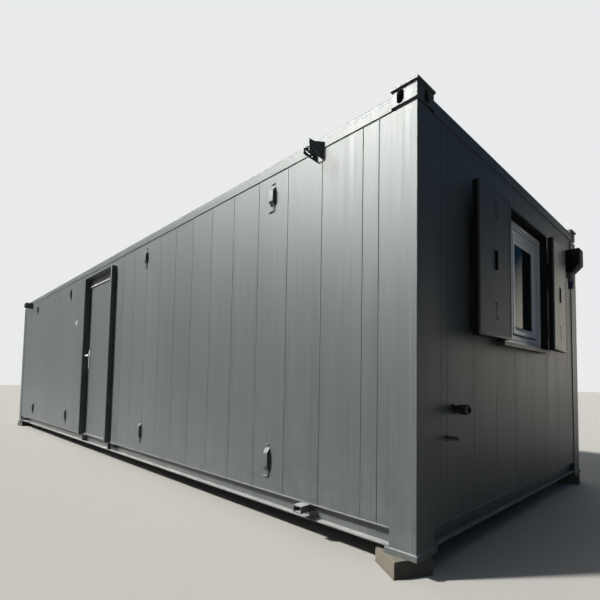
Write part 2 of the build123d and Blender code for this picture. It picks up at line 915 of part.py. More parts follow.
with BuildPart() as wall_cap:
    with BuildSketch(elevation("front", wall_recess)):
        with Locations(cap_place):
            Circle(cap_radius)
    extrude(amount=cap_thickness)
save(wall_cap.part, "wall_cap")
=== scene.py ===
"""Looks of the portable site cabin: paint, wear, seams, fittings, light and camera."""

import json
import math

import bmesh
import bpy
from mathutils import Matrix, Vector, noise


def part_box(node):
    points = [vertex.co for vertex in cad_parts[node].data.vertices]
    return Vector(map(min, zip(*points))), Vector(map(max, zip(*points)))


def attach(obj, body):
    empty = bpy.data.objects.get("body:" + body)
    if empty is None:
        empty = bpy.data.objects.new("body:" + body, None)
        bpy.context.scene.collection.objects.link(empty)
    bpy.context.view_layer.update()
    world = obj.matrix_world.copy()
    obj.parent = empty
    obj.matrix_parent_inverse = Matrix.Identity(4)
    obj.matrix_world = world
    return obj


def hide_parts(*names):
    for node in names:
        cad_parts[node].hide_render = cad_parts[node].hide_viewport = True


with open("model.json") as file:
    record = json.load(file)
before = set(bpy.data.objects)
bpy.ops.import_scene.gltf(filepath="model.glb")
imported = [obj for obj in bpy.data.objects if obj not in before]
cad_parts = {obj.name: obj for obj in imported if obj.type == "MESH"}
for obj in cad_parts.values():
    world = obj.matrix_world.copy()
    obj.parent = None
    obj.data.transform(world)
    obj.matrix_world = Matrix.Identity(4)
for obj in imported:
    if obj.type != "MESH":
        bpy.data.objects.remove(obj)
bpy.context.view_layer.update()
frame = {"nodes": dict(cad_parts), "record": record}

# Camera: where it stood and how it was turned, worked out from the cabin's own edges
camera_place = Vector((5.9530, -3.3193, 0.967))
camera_turn = math.radians(43.3621)
camera_rise = math.radians(3.2726)
camera_roll = math.radians(0.7477)
camera_lens = 24.869
camera_shift = (-0.0627, 0.0993)

ahead = Vector((
    -math.sin(camera_turn) * math.cos(camera_rise),
    math.cos(camera_turn) * math.cos(camera_rise),
    math.sin(camera_rise),
))
level_right = Vector((math.cos(camera_turn), math.sin(camera_turn), 0))
level_up = level_right.cross(ahead)
right = level_right * math.cos(camera_roll) + level_up * math.sin(camera_roll)
up = level_up * math.cos(camera_roll) - level_right * math.sin(camera_roll)
lens = bpy.data.cameras.new("camera")
lens.lens = camera_lens
lens.sensor_width = 36
lens.shift_x, lens.shift_y = camera_shift
lens.clip_end = 200
camera = bpy.data.objects.new("camera", lens)
camera.matrix_world = Matrix.Translation(camera_place) @ Matrix((right, up, -ahead)).transposed().to_4x4()
bpy.context.scene.collection.objects.link(camera)
bpy.context.scene.camera = camera

# The cabin's own measures, read from the frame, and those of its sheets, seams and room
posts_low, posts_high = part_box("corner_posts")
middle_x = (posts_low.x + posts_high.x) / 2
half_length = (posts_high.x - posts_low.x) / 2
half_width = posts_high.y
side_halves = (("front", half_length), ("back", half_length), ("left", half_width), ("right", half_width))
post_side = 0.168
wall_face_in = 0.025
sheet_in = 0.006
lining_in = 0.085
edge_seam = 0.254
long_first_seam = 0.372
end_first_seam = 0.32
seam_pitch = 0.3385
room_low = 0.235
room_high = 2.43


def at(side, run, depth, height):
    """Point on a side: run along it, depth inwards from the posts' face, height above the ground."""
    if side == "front":
        return Vector((middle_x + run, -half_width + depth, height))
    if side == "back":
        return Vector((middle_x - run, half_width - depth, height))
    if side == "right":
        return Vector((middle_x + half_length - depth, run, height))
    return Vector((middle_x - half_length + depth, -run, height))


class Graph:
    """A node tree with short calls for the nodes that the materials need."""

    def __init__(self, tree):
        self.tree = tree
        self.point = None

    def node(self, kind, inputs=None, **settings):
        made = self.tree.nodes.new(kind)
        for key, value in settings.items():
            setattr(made, key, value)
        for key, value in (inputs or {}).items():
            self.feed(made.inputs[key], value)
        return made

    def feed(self, socket, value):
        """Links a node's output to the socket, or sets a constant; a colour comes without its alpha."""
        if isinstance(value, bpy.types.NodeSocket):
            self.tree.links.new(value, socket)
        elif socket.type == "RGBA":
            socket.default_value = (*value, 1.0)
        else:
            socket.default_value = value

    def math(self, operation, first, second=0.0, third=0.0):
        return self.node("ShaderNodeMath", {0: first, 1: second, 2: third}, operation=operation).outputs[0]

    def span(self, value, low, high, to_low=0.0, to_high=1.0):
        ends = {"From Min": low, "From Max": high, "To Min": to_low, "To Max": to_high}
        return self.node("ShaderNodeMapRange", {"Value": value, **ends}).outputs["Result"]

    def mix(self, factor, first, second):
        return self.node("ShaderNodeMix", {0: factor, 6: first, 7: second}, data_type="RGBA").outputs[2]

    def dot(self, first, second):
        made = self.node("ShaderNodeVectorMath", {0: first, 1: second}, operation="DOT_PRODUCT")
        return made.outputs["Value"]

    def times(self, first, second, plus=None):
        if plus is None:
            return self.math("MULTIPLY", first, second)
        return self.math("MULTIPLY_ADD", first, second, plus)

    def minus(self, first, second):
        return self.math("SUBTRACT", first, second)

    def apart(self, first, second):
        return self.math("ABSOLUTE", self.minus(first, second))

    def place(self):
        if self.point is None:
            self.point = self.node("ShaderNodeTexCoord").outputs["Object"]
        return self.point

    def stretched(self, sx, sy, sz):
        made = self.node("ShaderNodeMapping", {"Vector": self.place(), "Scale": (sx, sy, sz)})
        return made.outputs[0]

    def split(self, vector):
        return self.node("ShaderNodeSeparateXYZ", {0: vector}).outputs

    def noise(self, vector, scale, detail, rough, distortion=0.0):
        kind = {"Scale": scale, "Detail": detail, "Roughness": rough, "Distortion": distortion}
        return self.node("ShaderNodeTexNoise", {"Vector": vector, **kind}).outputs[0]

    def clouds(self, scale, detail=2.0, rough=0.5):
        return self.noise(self.place(), scale, detail, rough)

    def streaks(self, scales, detail=2.0, rough=0.5, distortion=0.0):
        """Noise with a scale for each axis, drawn out along those with a small one."""
        return self.noise(self.stretched(*scales), 1.0, detail, rough, distortion)

    def cells(self, vector, scale):
        return self.node("ShaderNodeTexVoronoi", {"Vector": vector, "Scale": scale}).outputs["Distance"]

    def bump(self, height, distance, strength=1.0, normal=None):
        made = self.node("ShaderNodeBump", {"Height": height, "Distance": distance, "Strength": strength})
        if normal is not None:
            self.feed(made.inputs["Normal"], normal)
        return made.outputs[0]

    def facing(self):
        return self.node("ShaderNodeNewGeometry").outputs["Normal"]

    def coat(self, shader, colour, rough, normal=None):
        self.feed(shader.inputs["Base Color"], colour)
        self.feed(shader.inputs["Roughness"], rough)
        if normal is not None:
            self.feed(shader.inputs["Normal"], normal)

    def ray_kinds(self):
        """Whether a ray is the camera's own, and whether it is one by which a surface is seen."""
        rays = self.node("ShaderNodeLightPath").outputs
        mirrored = self.math("MAXIMUM", rays["Is Glossy Ray"], rays["Is Transmission Ray"])
        return rays["Is Camera Ray"], self.math("MAXIMUM", rays["Is Camera Ray"], mirrored)


def new_material(name, **values):
    """A material with its shader's constant values set, and the graph that feeds the rest."""
    made = bpy.data.materials.new(name)
    made.use_nodes = True
    graph = Graph(made.node_tree)
    shader = made.node_tree.nodes["Principled BSDF"]
    for key, value in values.items():
        shader.inputs[key.replace("_", " ")].default_value = value
    return made, graph, shader


def grey(value, tint=(1, 1, 1)):
    return tuple(value * part for part in tint)


dark_tint = (0.87, 1, 1.0)
light_tint = (0.91, 1, 0.98)
# Pale colour of dust, also laid on upward faces as painted highlight.
dust_and_highlight_colour = (0.44, 0.43, 0.4)
mark_colour = (0.45, 0.45, 0.43)
crack_colour = (0.01, 0.011, 0.012)


def rolled_coat(g):
    """Shade of a rolled coat, from about 0 to 1, and its clouds, streaks and fine lines by themselves."""
    broad = g.noise(g.stretched(1, 1, 0.8), 1.3, 3, 0.5)
    streak = g.streaks((38, 38, 0.9), 3, 0.6)
    fine = g.streaks((150, 150, 1.5), 2)
    bands = g.streaks((6, 6, 0.25), 2)
    lines = g.times(streak, 0.5, g.times(fine, 0.55))
    shade = g.times(broad, 0.25, lines)
    shade = g.times(bands, 0.3, g.minus(shade, 0.3))
    return shade, broad, streak, fine


def place_on_walls(g, x, y):
    """Depth behind the posts' faces, run from the nearest corner, and the count of sheets from there."""
    from_end = g.minus(half_length, g.apart(x, middle_x))
    from_side = g.minus(half_width, g.math("ABSOLUTE", y))
    run = g.math("MAXIMUM", from_end, from_side)
    on_long_side = g.math("LESS_THAN", from_side, from_end)
    first = g.times(on_long_side, long_first_seam - end_first_seam, end_first_seam)
    panel = g.math("ADD", g.math("DIVIDE", g.minus(run, first), seam_pitch), 1.0)
    return g.math("MINIMUM", from_end, from_side), run, panel


def sheet_tone_and_painted_sheen(g, shade, x, y, panel):
    """The coat's shade with a small step from sheet to sheet, partly each sheet's own tone and partly
    painted sheen, and a slight slope across each, a painted sheen of a bowed sheet.
    """
    number = g.times(g.math("SIGN", x), 0.3, g.math("FLOOR", panel))
    number = g.times(g.math("SIGN", y), 0.17, number)
    own = g.node("ShaderNodeTexWhiteNoise", {"W": number}, noise_dimensions="1D").outputs["Value"]
    # Step per sheet: own tone and painted sheen; slope across each sheet: painted sheen.
    shade = g.math("ADD", shade, g.span(own, 0, 1, -0.1, 0.1))
    return g.math("ADD", shade, g.span(g.math("FRACT", panel), 0, 1, -0.03, 0.03))


def dust_and_ledge_highlight(g, z):
    """Dust on ledges, paler there also as a painted highlight on upward faces, and dust thrown up over the
    lowest part.
    """
    patchy = g.clouds(9.0, 4, 0.65)
    # Upward faces paler: settled dust, and a painted highlight where light falls on them.
    ledge = g.span(g.split(g.facing())[2], 0.55, 0.95, 0, 0.9)
    low = g.times(g.span(z, 0.75, 0.12, 0, 0.12), g.span(patchy, 0.35, 0.75))
    return g.math("MAXIMUM", g.times(ledge, g.span(patchy, 0.2, 0.7, 0.5, 1)), low)


def small_marks(g):
    """Pale specks and short scratches."""
    spot = g.math("LESS_THAN", g.cells(g.stretched(1, 1, 0.8), 4.2), 0.012)
    rare = g.math("GREATER_THAN", g.clouds(2.1, 0), 0.56)
    field = g.streaks((5, 5, 9), 1, 0.4, 0.8)
    scratch = g.math("LESS_THAN", g.apart(field, 0.5), 0.0008)
    scratch = g.times(scratch, g.math("GREATER_THAN", g.clouds(0.9, 1), 0.64))
    marks = g.math("MAXIMUM", g.times(spot, rare), g.times(scratch, 0.2))
    return g.times(marks, 0.35)


def coat_relief(g, edge, streak, fine):
    """Orange peel, the roller's drag and the sheets' wide shallow waves, on the rounded edges."""
    peel = g.bump(g.clouds(160.0, 2), 0.0003, 0.35, edge)
    drag = g.bump(g.math("ADD", streak, fine), 0.0003, 0.5, peel)
    return g.bump(g.streaks((2.4, 2.4, 0.9), 1), 0.005, 0.6, drag)


def joint_lines(g, colour, tone, z, run, panel):
    """Beside each joint of the sheets a broken pale line, a painted highlight of the joint's edge catching
    the light, and in it a crack that is darkest near the rail.
    """
    beside = g.times(g.minus(g.math("FRACT", g.math("ADD", panel, 0.5)), 0.5), seam_pitch)
    broken = g.span(g.streaks((7, 7, 1.3), 2, 0.6), 0.46, 0.62, 0.03, 0.45)
    # Pale broken line beside each joint: painted highlight.
    lip = g.span(g.apart(beside, 0.0048), 0.0024, 0.0012)
    colour = g.mix(g.times(lip, broken), colour, grey(tone * 2.6))
    corner_gap = g.apart(run, edge_seam)
    gap = g.math("MINIMUM", g.math("ABSOLUTE", beside), corner_gap)
    crack = g.span(g.streaks((9, 9, 1.6), 3, 0.7), 0.42, 0.66, 0.0, 0.65)
    crack = g.math("MAXIMUM", crack, g.span(z, 2.0, 2.35, 0, 0.85))
    line = g.times(g.span(gap, 0.0026, 0.0014), crack)
    line = g.times(line, g.math("GREATER_THAN", run, 0.2))
    return g.mix(line, colour, crack_colour)


def inner_face(g, z, depth):
    """1 on the walls' faces in the room, 0 outside."""
    inside = g.math("GREATER_THAN", depth, lining_in - 0.0007)
    inside = g.times(inside, g.math("LESS_THAN", z, room_high))
    return g.times(inside, g.math("GREATER_THAN", z, room_low))


def paint(name, tone, walls=False, rounding=0.004, specular=0.5):
    """Satin grey paint, rolled on: streaks, worn edges, dust where it settles, specks and thin scratches;
    edges and upward faces are also lightened as painted highlight, and on walls painted sheen crosses the
    sheets and a painted highlight runs beside their joints.
    """
    made, g, shader = new_material(name, Specular_IOR_Level=specular)
    x, y, z = g.split(g.place())
    shade, broad, streak, fine = rolled_coat(g)
    if walls:
        depth, run, panel = place_on_walls(g, x, y)
        shade = sheet_tone_and_painted_sheen(g, shade, x, y, panel)
    colour = g.mix(shade, grey(tone * 0.62, dark_tint), grey(tone * 1.38, light_tint))
    edge = g.node("ShaderNodeBevel", {"Radius": rounding}, samples=4).outputs[0]
    # Rounded edges lighter: rubbed paint, and a painted highlight along them.
    colour = g.mix(g.span(g.dot(edge, g.facing()), 0.97, 0.8, 0, 0.25), colour, grey(tone * 2.4))
    dust_and_highlight = dust_and_ledge_highlight(g, z)
    colour = g.mix(dust_and_highlight, colour, dust_and_highlight_colour)
    colour = g.mix(small_marks(g), colour, mark_colour)
    rough = g.times(dust_and_highlight, 0.5, g.span(streak, 0.3, 0.7, 0.4, 0.48))
    if walls:
        colour = joint_lines(g, colour, tone, z, run, panel)
        inside = inner_face(g, z, depth)
        colour = g.mix(inside, colour, g.mix(broad, (0.62, 0.61, 0.58), (0.74, 0.73, 0.7)))
        rough = g.times(inside, 0.3, rough)
    g.coat(shader, colour, rough, coat_relief(g, edge, streak, fine))
    return made


def concrete():
    """Old cast block: pale faces, dark pores, stains and a sandy grain."""
    made, g, shader = new_material("old_concrete", Specular_IOR_Level=0.25)
    stain = g.clouds(7.0, 5, 0.6)
    grain = g.clouds(140.0, 4, 0.7)
    pores = g.span(g.cells(g.place(), 95.0), 0.1, 0.26)
    tone = g.times(grain, 0.4, g.times(stain, 0.6))
    colour = g.mix(tone, (0.085, 0.074, 0.056), (0.27, 0.245, 0.2))
    colour = g.mix(pores, (0.07, 0.06, 0.05), colour)
    foot = g.span(g.split(g.place())[2], 0.03, 0.0, 0, 0.45)
    colour = g.mix(foot, colour, (0.09, 0.075, 0.055))
    height = g.times(pores, 0.7, grain)
    g.coat(shader, colour, g.span(stain, 0.3, 0.7, 0.8, 0.95), g.bump(height, 0.0022, 0.8))
    return made


def timber():
    """Sawn joist wood with grain along it and a few darker bands."""
    made, g, shader = new_material("sawn_timber", Specular_IOR_Level=0.3)
    rings = g.streaks((60, 3, 60), 4, 0.6, 0.4)
    band = g.streaks((9, 0.6, 9), 2)
    colour = g.mix(rings, (0.22, 0.13, 0.065), (0.5, 0.36, 0.21))
    colour = g.mix(g.span(band, 0.5, 0.8, 0, 0.5), colour, (0.16, 0.1, 0.06))
    g.coat(shader, colour, g.span(rings, 0, 1, 0.65, 0.85), g.bump(rings, 0.0008, 0.6))
    return made


def floor_cover():
    """Speckled grey vinyl on board, scuffed in places."""
    made, g, shader = new_material("floor_cover", Specular_IOR_Level=0.4)
    flecks = g.clouds(260.0, 2)
    scuffs = g.streaks((3, 3, 1), 4, 0.6)
    colour = g.mix(g.span(flecks, 0.35, 0.65), (0.2, 0.2, 0.2), (0.31, 0.31, 0.3))
    colour = g.mix(g.span(scuffs, 0.5, 0.8, 0, 0.4), colour, (0.14, 0.13, 0.12))
    g.coat(shader, colour, g.span(scuffs, 0.3, 0.8, 0.35, 0.6), g.bump(flecks, 0.0003, 0.5))
    return made


def roof_sheet():
    """Weathered coated sheet above, with silt in streaks down the fall, and a pale ceiling below."""
    made, g, shader = new_material("roof_sheet", Specular_IOR_Level=0.12)
    silt = g.streaks((7, 1.2, 1), 5, 0.65)
    grain = g.clouds(60.0, 3)
    colour = g.mix(grain, (0.21, 0.22, 0.225), (0.3, 0.31, 0.31))
    colour = g.mix(g.span(silt, 0.48, 0.75, 0, 0.65), colour, (0.27, 0.24, 0.19))
    below = g.math("LESS_THAN", g.split(g.facing())[2], -0.5)
    ceiling = g.mix(silt, (0.7, 0.7, 0.68), (0.76, 0.76, 0.74))
    colour = g.mix(below, colour, ceiling)
    rough = g.span(silt, 0.3, 0.8, 0.45, 0.75)
    g.coat(shader, colour, rough, g.bump(g.streaks((2, 2, 2), 2), 0.006, 0.6))
    return made


def moulded(name, low, high, rough=(0.3, 0.45), depth=0.00025, dust=0.0, specular=0.5, rounded=True):
    """Moulded plastic or rubber: two near tones, a fine grain, and some dust on top."""
    made, g, shader = new_material(name, Specular_IOR_Level=specular)
    cloud = g.clouds(11.0, 4, 0.6)
    skin = g.clouds(220.0, 2)
    colour = g.mix(g.times(skin, 0.3, g.times(cloud, 0.7)), low, high)
    if dust:
        level = g.span(g.split(g.facing())[2], 0.3, 0.95, 0, dust)
        colour = g.mix(g.times(level, g.span(cloud, 0.3, 0.7)), colour, (0.36, 0.33, 0.28))
    edge = g.node("ShaderNodeBevel", {"Radius": 0.0025}, samples=4).outputs[0] if rounded else None
    g.coat(shader, colour, g.span(cloud, 0.25, 0.75, rough[0], rough[1]), g.bump(skin, depth, 0.5, edge))
    return made


def brushed_metal(name, low, high, rough):
    """Metal with lengthways brushing, finger-dulled patches and a little dirt."""
    made, g, shader = new_material(name, Metallic=1.0)
    brush = g.streaks((900, 900, 25), 3)
    dull = g.clouds(38.0, 4, 0.6)
    worn = g.times(dull, 0.25, g.span(brush, 0.3, 0.7, rough, rough + 0.1))
    g.coat(shader, g.mix(dull, low, high), worn, g.bump(brush, 0.0002, 0.5))
    return made


def glass():
    """Sealed double pane: clear with a slight tint and a faint streaky film."""
    made, g, shader = new_material("window_glass", Transmission_Weight=0.92, IOR=1.45)
    film = g.streaks((6, 6, 3), 4, 0.6)
    rough = g.span(film, 0.35, 0.8, 0.01, 0.07)
    g.coat(shader, g.mix(film, (0.1, 0.12, 0.13), (0.15, 0.17, 0.18)), rough)
    return made


paint_tone = 0.1
wall_paint = paint("wall_paint", paint_tone, walls=True)
plain_paint = paint("plain_paint", paint_tone)
fitting_paint = paint("fitting_paint", paint_tone, rounding=0.0008)
surround_paint = paint("surround_paint", paint_tone * 0.92, rounding=0.002)
# Window surround's paint, near black and dull: painted shade in the deep reveal.
reveal_painted_shade = paint("reveal_painted_shade", paint_tone * 0.15, rounding=0.001, specular=0.15)
white_frame = moulded(
    "white_frame", (0.88, 0.9, 0.91), (0.91, 0.92, 0.93), (0.2, 0.28), depth=0.00008, rounded=False
)
black_shell = moulded(
    "black_shell", (0.003, 0.004, 0.006), (0.007, 0.009, 0.012), (0.5, 0.65), specular=0.1, rounded=False
)
pipe_black = moulded("pipe_black", (0.008, 0.01, 0.012), (0.018, 0.02, 0.023), (0.28, 0.45), dust=0.15)
# Black rubber for the real seals, also used as painted shade in hollows and gaps.
rubber_and_painted_shade = moulded("rubber_and_painted_shade", (0.008, 0.008, 0.009), (0.016, 0.016, 0.017), (0.55, 0.7), specular=0.12)
socket_grey = moulded("socket_grey", (0.19, 0.2, 0.21), (0.25, 0.26, 0.27), (0.35, 0.5), dust=0.15)
socket_blue = moulded("socket_blue", (0.018, 0.024, 0.11), (0.026, 0.034, 0.15), (0.35, 0.5), dust=0.12)
sealant = moulded("sealant", (0.62, 0.62, 0.6), (0.72, 0.72, 0.7), (0.4, 0.55), rounded=False)
steel = brushed_metal("worn_steel", (0.58, 0.57, 0.55), (0.78, 0.77, 0.74), 0.34)
block_concrete = concrete()
slot_material = {
    "grey_paint": plain_paint,
    "concrete": block_concrete,
    "timber": timber(),
    "floor_board": floor_cover(),
    "roof_sheet": roof_sheet(),
    "white_plastic": white_frame,
    "window_glass": glass(),
    "black_plastic": black_shell,
    "bare_metal": steel,
}
own_material = {
    "leg_stubs": fitting_paint,
    "leg_sockets": fitting_paint,
    "step_sockets": fitting_paint,
    "door_leaf_knuckles": fitting_paint,
    "door_jamb_knuckles": fitting_paint,
    "door_surround": surround_paint,
    "window_surround": reveal_painted_shade,
    "window_sill": surround_paint,
    "shutter_front": surround_paint,
    "shutter_back": surround_paint,
}
for subpart in frame["record"]["subparts"]:
    node_name = subpart["node"]
    coat = slot_material[subpart["material_slot"]]
    if "wall" in node_name and node_name != "wall_cap" or node_name == "corner_posts":
        coat = wall_paint
    coat = own_material.get(node_name, coat)
    shown = frame["nodes"][node_name].data
    if shown.materials:
        shown.materials[0] = coat
    else:
        shown.materials.append(coat)

# The brackets keep out of the walls' gloss, so the wide highlight stays whole round them
frame["nodes"]["leg_stubs"].visible_glossy = False


# Mesh helpers: each adds a closed shape to the mesh under construction
def add_faces(bm, points, faces):
    made = [bm.verts.new(point) for point in points]
    for face in faces:
        bm.faces.new([made[index] for index in face])


def add_rings(bm, rings):
    """Skin over rings of equally many points, with a flat cap on the first ring and on the last."""
    count = len(rings[0])
    last = (len(rings) - 1) * count
    faces = [tuple(range(count - 1, -1, -1)), tuple(range(last, last + count))]
    for start in range(0, last, count):
        for k in range(count):
            following = (k + 1) % count
            faces.append((start + k, start + following, start + count + following, start + count + k))
    add_faces(bm, [point for ring in rings for point in ring], faces)


def add_box(bm, low, high):
    plan = ((low[0], low[1]), (high[0], low[1]), (high[0], high[1]), (low[0], high[1]))
    add_rings(bm, [[(x, y, z) for x, y in plan] for z in (low[2], high[2])])


def add_side_box(bm, side, runs, depths, heights):
    """Box on a side of the cabin, between two runs, two depths and two heights."""
    first, second = at(side, runs[0], depths[0], heights[0]), at(side, runs[1], depths[1], heights[1])
    add_box(bm, [min(pair) for pair in zip(first, second)], [max(pair) for pair in zip(first, second)])


def add_prism(bm, outline, to_point, start, end):
    """Outline in two coordinates, pushed from start to end; to_point turns (a, b, along) into a place."""
    add_rings(bm, [[to_point(a, b, along) for a, b in outline] for along in (start, end)])


def along_side(side):
    """For a prism whose outline is (depth, height) pairs, pushed along the runs of a side."""
    return lambda depth, height, run: at(side, run, depth, height)


def up_side(side):
    """For a prism whose outline is (run, depth) pairs, pushed up a side."""
    return lambda run, depth, height: at(side, run, depth, height)


def add_turned(bm, profile, origin, direction, segments):
    """Profile of (radius, distance along) pairs, turned about an axis; it starts and ends closed."""
    direction = Vector(direction).normalized()
    across = direction.orthogonal().normalized()
    other = direction.cross(across)
    angles = [2 * math.pi * k / segments for k in range(segments)]
    spokes = [across * math.cos(angle) + other * math.sin(angle) for angle in angles]
    rings = []
    for radius, along in profile:
        rings.append([Vector(origin) + direction * along + spoke * radius for spoke in spokes])
    add_rings(bm, rings)


def add_rod(bm, path, radius, segments=10, lumps=0.0):
    """Round rod along a path; lumps makes it uneven, as a weld run is."""
    path = [Vector(point) for point in path]
    reference = (path[1] - path[0]).orthogonal().normalized()
    rings = []
    for k, point in enumerate(path):
        tangent = (path[min(k + 1, len(path) - 1)] - path[max(k - 1, 0)]).normalized()
        reference = (reference - tangent * reference.dot(tangent)).normalized()
        other = tangent.cross(reference)
        size = radius * (1 + lumps * math.sin(2.1 * k) * math.sin(0.7 * k + 1))
        rings.append([
            point + (reference * math.cos(a) + other * math.sin(a)) * size
            for a in (2 * math.pi * s / segments for s in range(segments))
        ])
    add_rings(bm, rings)


def add_mitred(bm, to_point, runs, heights, profile):
    """Frame with mitred corners: a closed profile of (inset, depth) pairs goes round a rectangle of runs and
    heights, and to_point turns (run, height, depth) into a place."""
    points = []
    for inset, depth in profile:
        left, far = runs[0] + inset, runs[1] - inset
        bottom, top = heights[0] + inset, heights[1] - inset
        for run, height in ((left, bottom), (far, bottom), (far, top), (left, top)):
            points.append(to_point(run, height, depth))
    faces = []
    for k in range(len(profile)):
        following = (k + 1) % len(profile)
        for corner in range(4):
            step = (corner + 1) % 4
            faces.append((k * 4 + corner, k * 4 + step, following * 4 + step, following * 4 + corner))
    add_faces(bm, points, faces)


def soften(bm, width, segments=2, limit=30):
    """Rounds every edge that is sharper than the limit."""
    bm.normal_update()
    bmesh.ops.recalc_face_normals(bm, faces=bm.faces)
    sharp = [e for e in bm.edges if len(e.link_faces) == 2 and e.calc_face_angle(0) > math.radians(limit)]
    bmesh.ops.bevel(
        bm, geom=sharp, offset=width, segments=segments, profile=0.5, affect="EDGES", clamp_overlap=True
    )


def piece(name, bm, coat, replaces=(), smooth=40, body="cabin"):
    """Puts the finished mesh in the scene as a piece that rides on a body."""
    bmesh.ops.recalc_face_normals(bm, faces=bm.faces)
    mesh = bpy.data.meshes.new(name)
    bm.to_mesh(mesh)
    bm.free()
    mesh.shade_smooth()
    mesh.set_sharp_from_angle(angle=math.radians(smooth))
    mesh.materials.append(coat)
    made = bpy.data.objects.new(name, mesh)
    bpy.context.scene.collection.objects.link(made)
    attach(made, body)
    if replaces:
        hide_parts(*replaces)
    return made


# Corner blocks: cast concrete with broken edges, each as turned as its solid
block_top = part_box("support_blocks")[1].z
block_steps = 14
block_rises = 6
edge_wear = {1: 0.001, 2: 0.003, 3: 0.006}


def add_rough_block(bm, plan, seed):
    """Block over four plan corners, divided and worn inwards most at its edges."""
    centre = sum(plan, Vector((0, 0))) / 4
    grid = {}

    def spot(u, v, w):
        if (u, v, w) in grid:
            return grid[u, v, w]
        a, b = u / block_steps, v / block_steps
        flat = (plan[0] * (1 - a) + plan[1] * a) * (1 - b) + (plan[3] * (1 - a) + plan[2] * a) * b
        place = Vector((flat.x, flat.y, block_top * (w / block_rises)))
        near_edge = 0
        for value, most in ((u, block_steps), (v, block_steps), (w, block_rises)):
            near_edge += value in (0, most)
        rough = noise.noise(place * 23 + Vector((seed, 0, 0)))
        fine = noise.noise(place * 90 + Vector((0, seed, 0)))
        inward = Vector((centre.x - place.x, centre.y - place.y, 0)).normalized()
        wear = edge_wear.get(near_edge, 0) * (1 + 0.9 * rough) + 0.0008 * abs(fine) * (near_edge > 0)
        if w > 0 and (w < block_rises or near_edge > 1):
            place += inward * max(wear, 0)
        if w == block_rises and near_edge > 1:
            place.z -= max(wear, 0) * 0.7
        grid[u, v, w] = bm.verts.new(place)
        return grid[u, v, w]

    for u in range(block_steps):
        for v in range(block_steps):
            for w in (0, block_rises):
                bm.faces.new([spot(u, v, w), spot(u + 1, v, w), spot(u + 1, v + 1, w), spot(u, v + 1, w)])
    for w in range(block_rises):
        for k in range(block_steps):
            for v in (0, block_steps):
                bm.faces.new([spot(k, v, w), spot(k + 1, v, w), spot(k + 1, v, w + 1), spot(k, v, w + 1)])
            for u in (0, block_steps):
                bm.faces.new([spot(u, k, w), spot(u, k + 1, w), spot(u, k + 1, w + 1), spot(u, k, w + 1)])


blocks = bmesh.new()
block_points = [v.co for v in frame["nodes"]["support_blocks"].data.vertices if v.co.z < 0.001]
for number, (i, j) in enumerate(((-1, -1), (1, -1), (1, 1), (-1, 1))):
    plan = []
    for point in block_points:
        if (point.x - middle_x) * i > 0 and point.y * j > 0:
            flat = Vector((point.x, point.y))
            if all((flat - other).length > 0.001 for other in plan):
                plan.append(flat)
    middle = sum(plan, Vector((0, 0))) / len(plan)
    plan.sort(key=lambda p: math.atan2(p.y - middle.y, p.x - middle.x))
    add_rough_block(blocks, plan, 3.7 * number)
piece("corner_blocks", blocks, block_concrete, ("support_blocks",), smooth=32)

# Leg hooks: folded sheet with a sloped head, flat face and stepped lip, a bent rod below and a tab above
hook_low, hook_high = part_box("leg_hooks")
hook_runs = [sign * place for place in (1.435, 3.655) for sign in (-1, 1)]
hook_out = -0.02
hook_half = 0.024
tab_half = 0.019
rod_bend = 0.012
hooks, rods, tabs = bmesh.new(), bmesh.new(), bmesh.new()


def add_hook(side, away, centre, top, face_height):
    """One hook with its tab and rod; away is the sense in which the rod's foot bends."""
    head_top = top - 0.028
    face_top = top - 0.062
    face_bottom = face_top - face_height - 0.004
    low = face_bottom - 0.034
    add_prism(hooks, [
        (sheet_in, head_top), (hook_out, face_top), (hook_out, face_bottom),
        (hook_out + 0.004, face_bottom - 0.004), (sheet_in, low), (wall_face_in, low),
        (wall_face_in, head_top),
    ], along_side(side), centre - hook_half, centre + hook_half)
    rod_run = centre - away * 0.016
    bend_top = low - 0.022
    path = [at(side, rod_run, 0.0, low + 0.022), at(side, rod_run, -0.001, bend_top)]
    for k in range(1, 6):
        angle = math.radians(18 * k)
        run = rod_run + away * rod_bend * (1 - math.cos(angle))
        path.append(at(side, run, -0.001, bend_top - rod_bend * math.sin(angle)))
    path.append(at(side, rod_run + away * 0.058, 0.001, low - 0.036))
    add_rod(rods, path, 0.0042)
    add_prism(tabs, [
        (wall_face_in, top), (sheet_in - 0.007, top), (sheet_in - 0.008, top - 0.006),
        (sheet_in, top - 0.014), (wall_face_in, top - 0.014),
    ], along_side(side), centre - tab_half, centre + tab_half)


for side, away in (("front", -1), ("back", 1)):
    for run in hook_runs:
        add_hook(side, away, run - away * 0.006, hook_high.z, 0.072)
        add_hook(side, away, run - away * 0.006, hook_low.z + 0.195, 0.092)
soften(hooks, 0.0012)
piece("folded_hooks", hooks, fitting_paint, ("leg_hooks",), smooth=12)
piece("hook_rods", rods, fitting_paint)
soften(tabs, 0.001)
piece("hook_tabs", tabs, fitting_paint)

# Outer sheets over the walls, from the channels up to the rails, with a narrow groove at every joint
rail_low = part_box("roof_rails")[0].z
channel_low, channel_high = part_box("base_channels")
surround_low, surround_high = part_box("door_surround")
window_low, window_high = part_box("window_surround")
sill_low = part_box("window_sill")[0].z
sheet_back = wall_face_in + 0.0005
groove = ((-0.002, 0.0), (-0.0009, 0.003), (0.0009, 0.003), (0.002, 0.0))
sheets = bmesh.new()


def seam_places(side):
    """Runs of the joints along a side, the same from both ends."""
    long_side = side in ("front", "back")
    half = half_length if long_side else half_width
    places = [half - edge_seam]
    place = half - (long_first_seam if long_side else end_first_seam)
    while place > 0.05:
        places.append(place)
        place -= seam_pitch
    return sorted(sign * place for place in places for sign in (-1, 1))


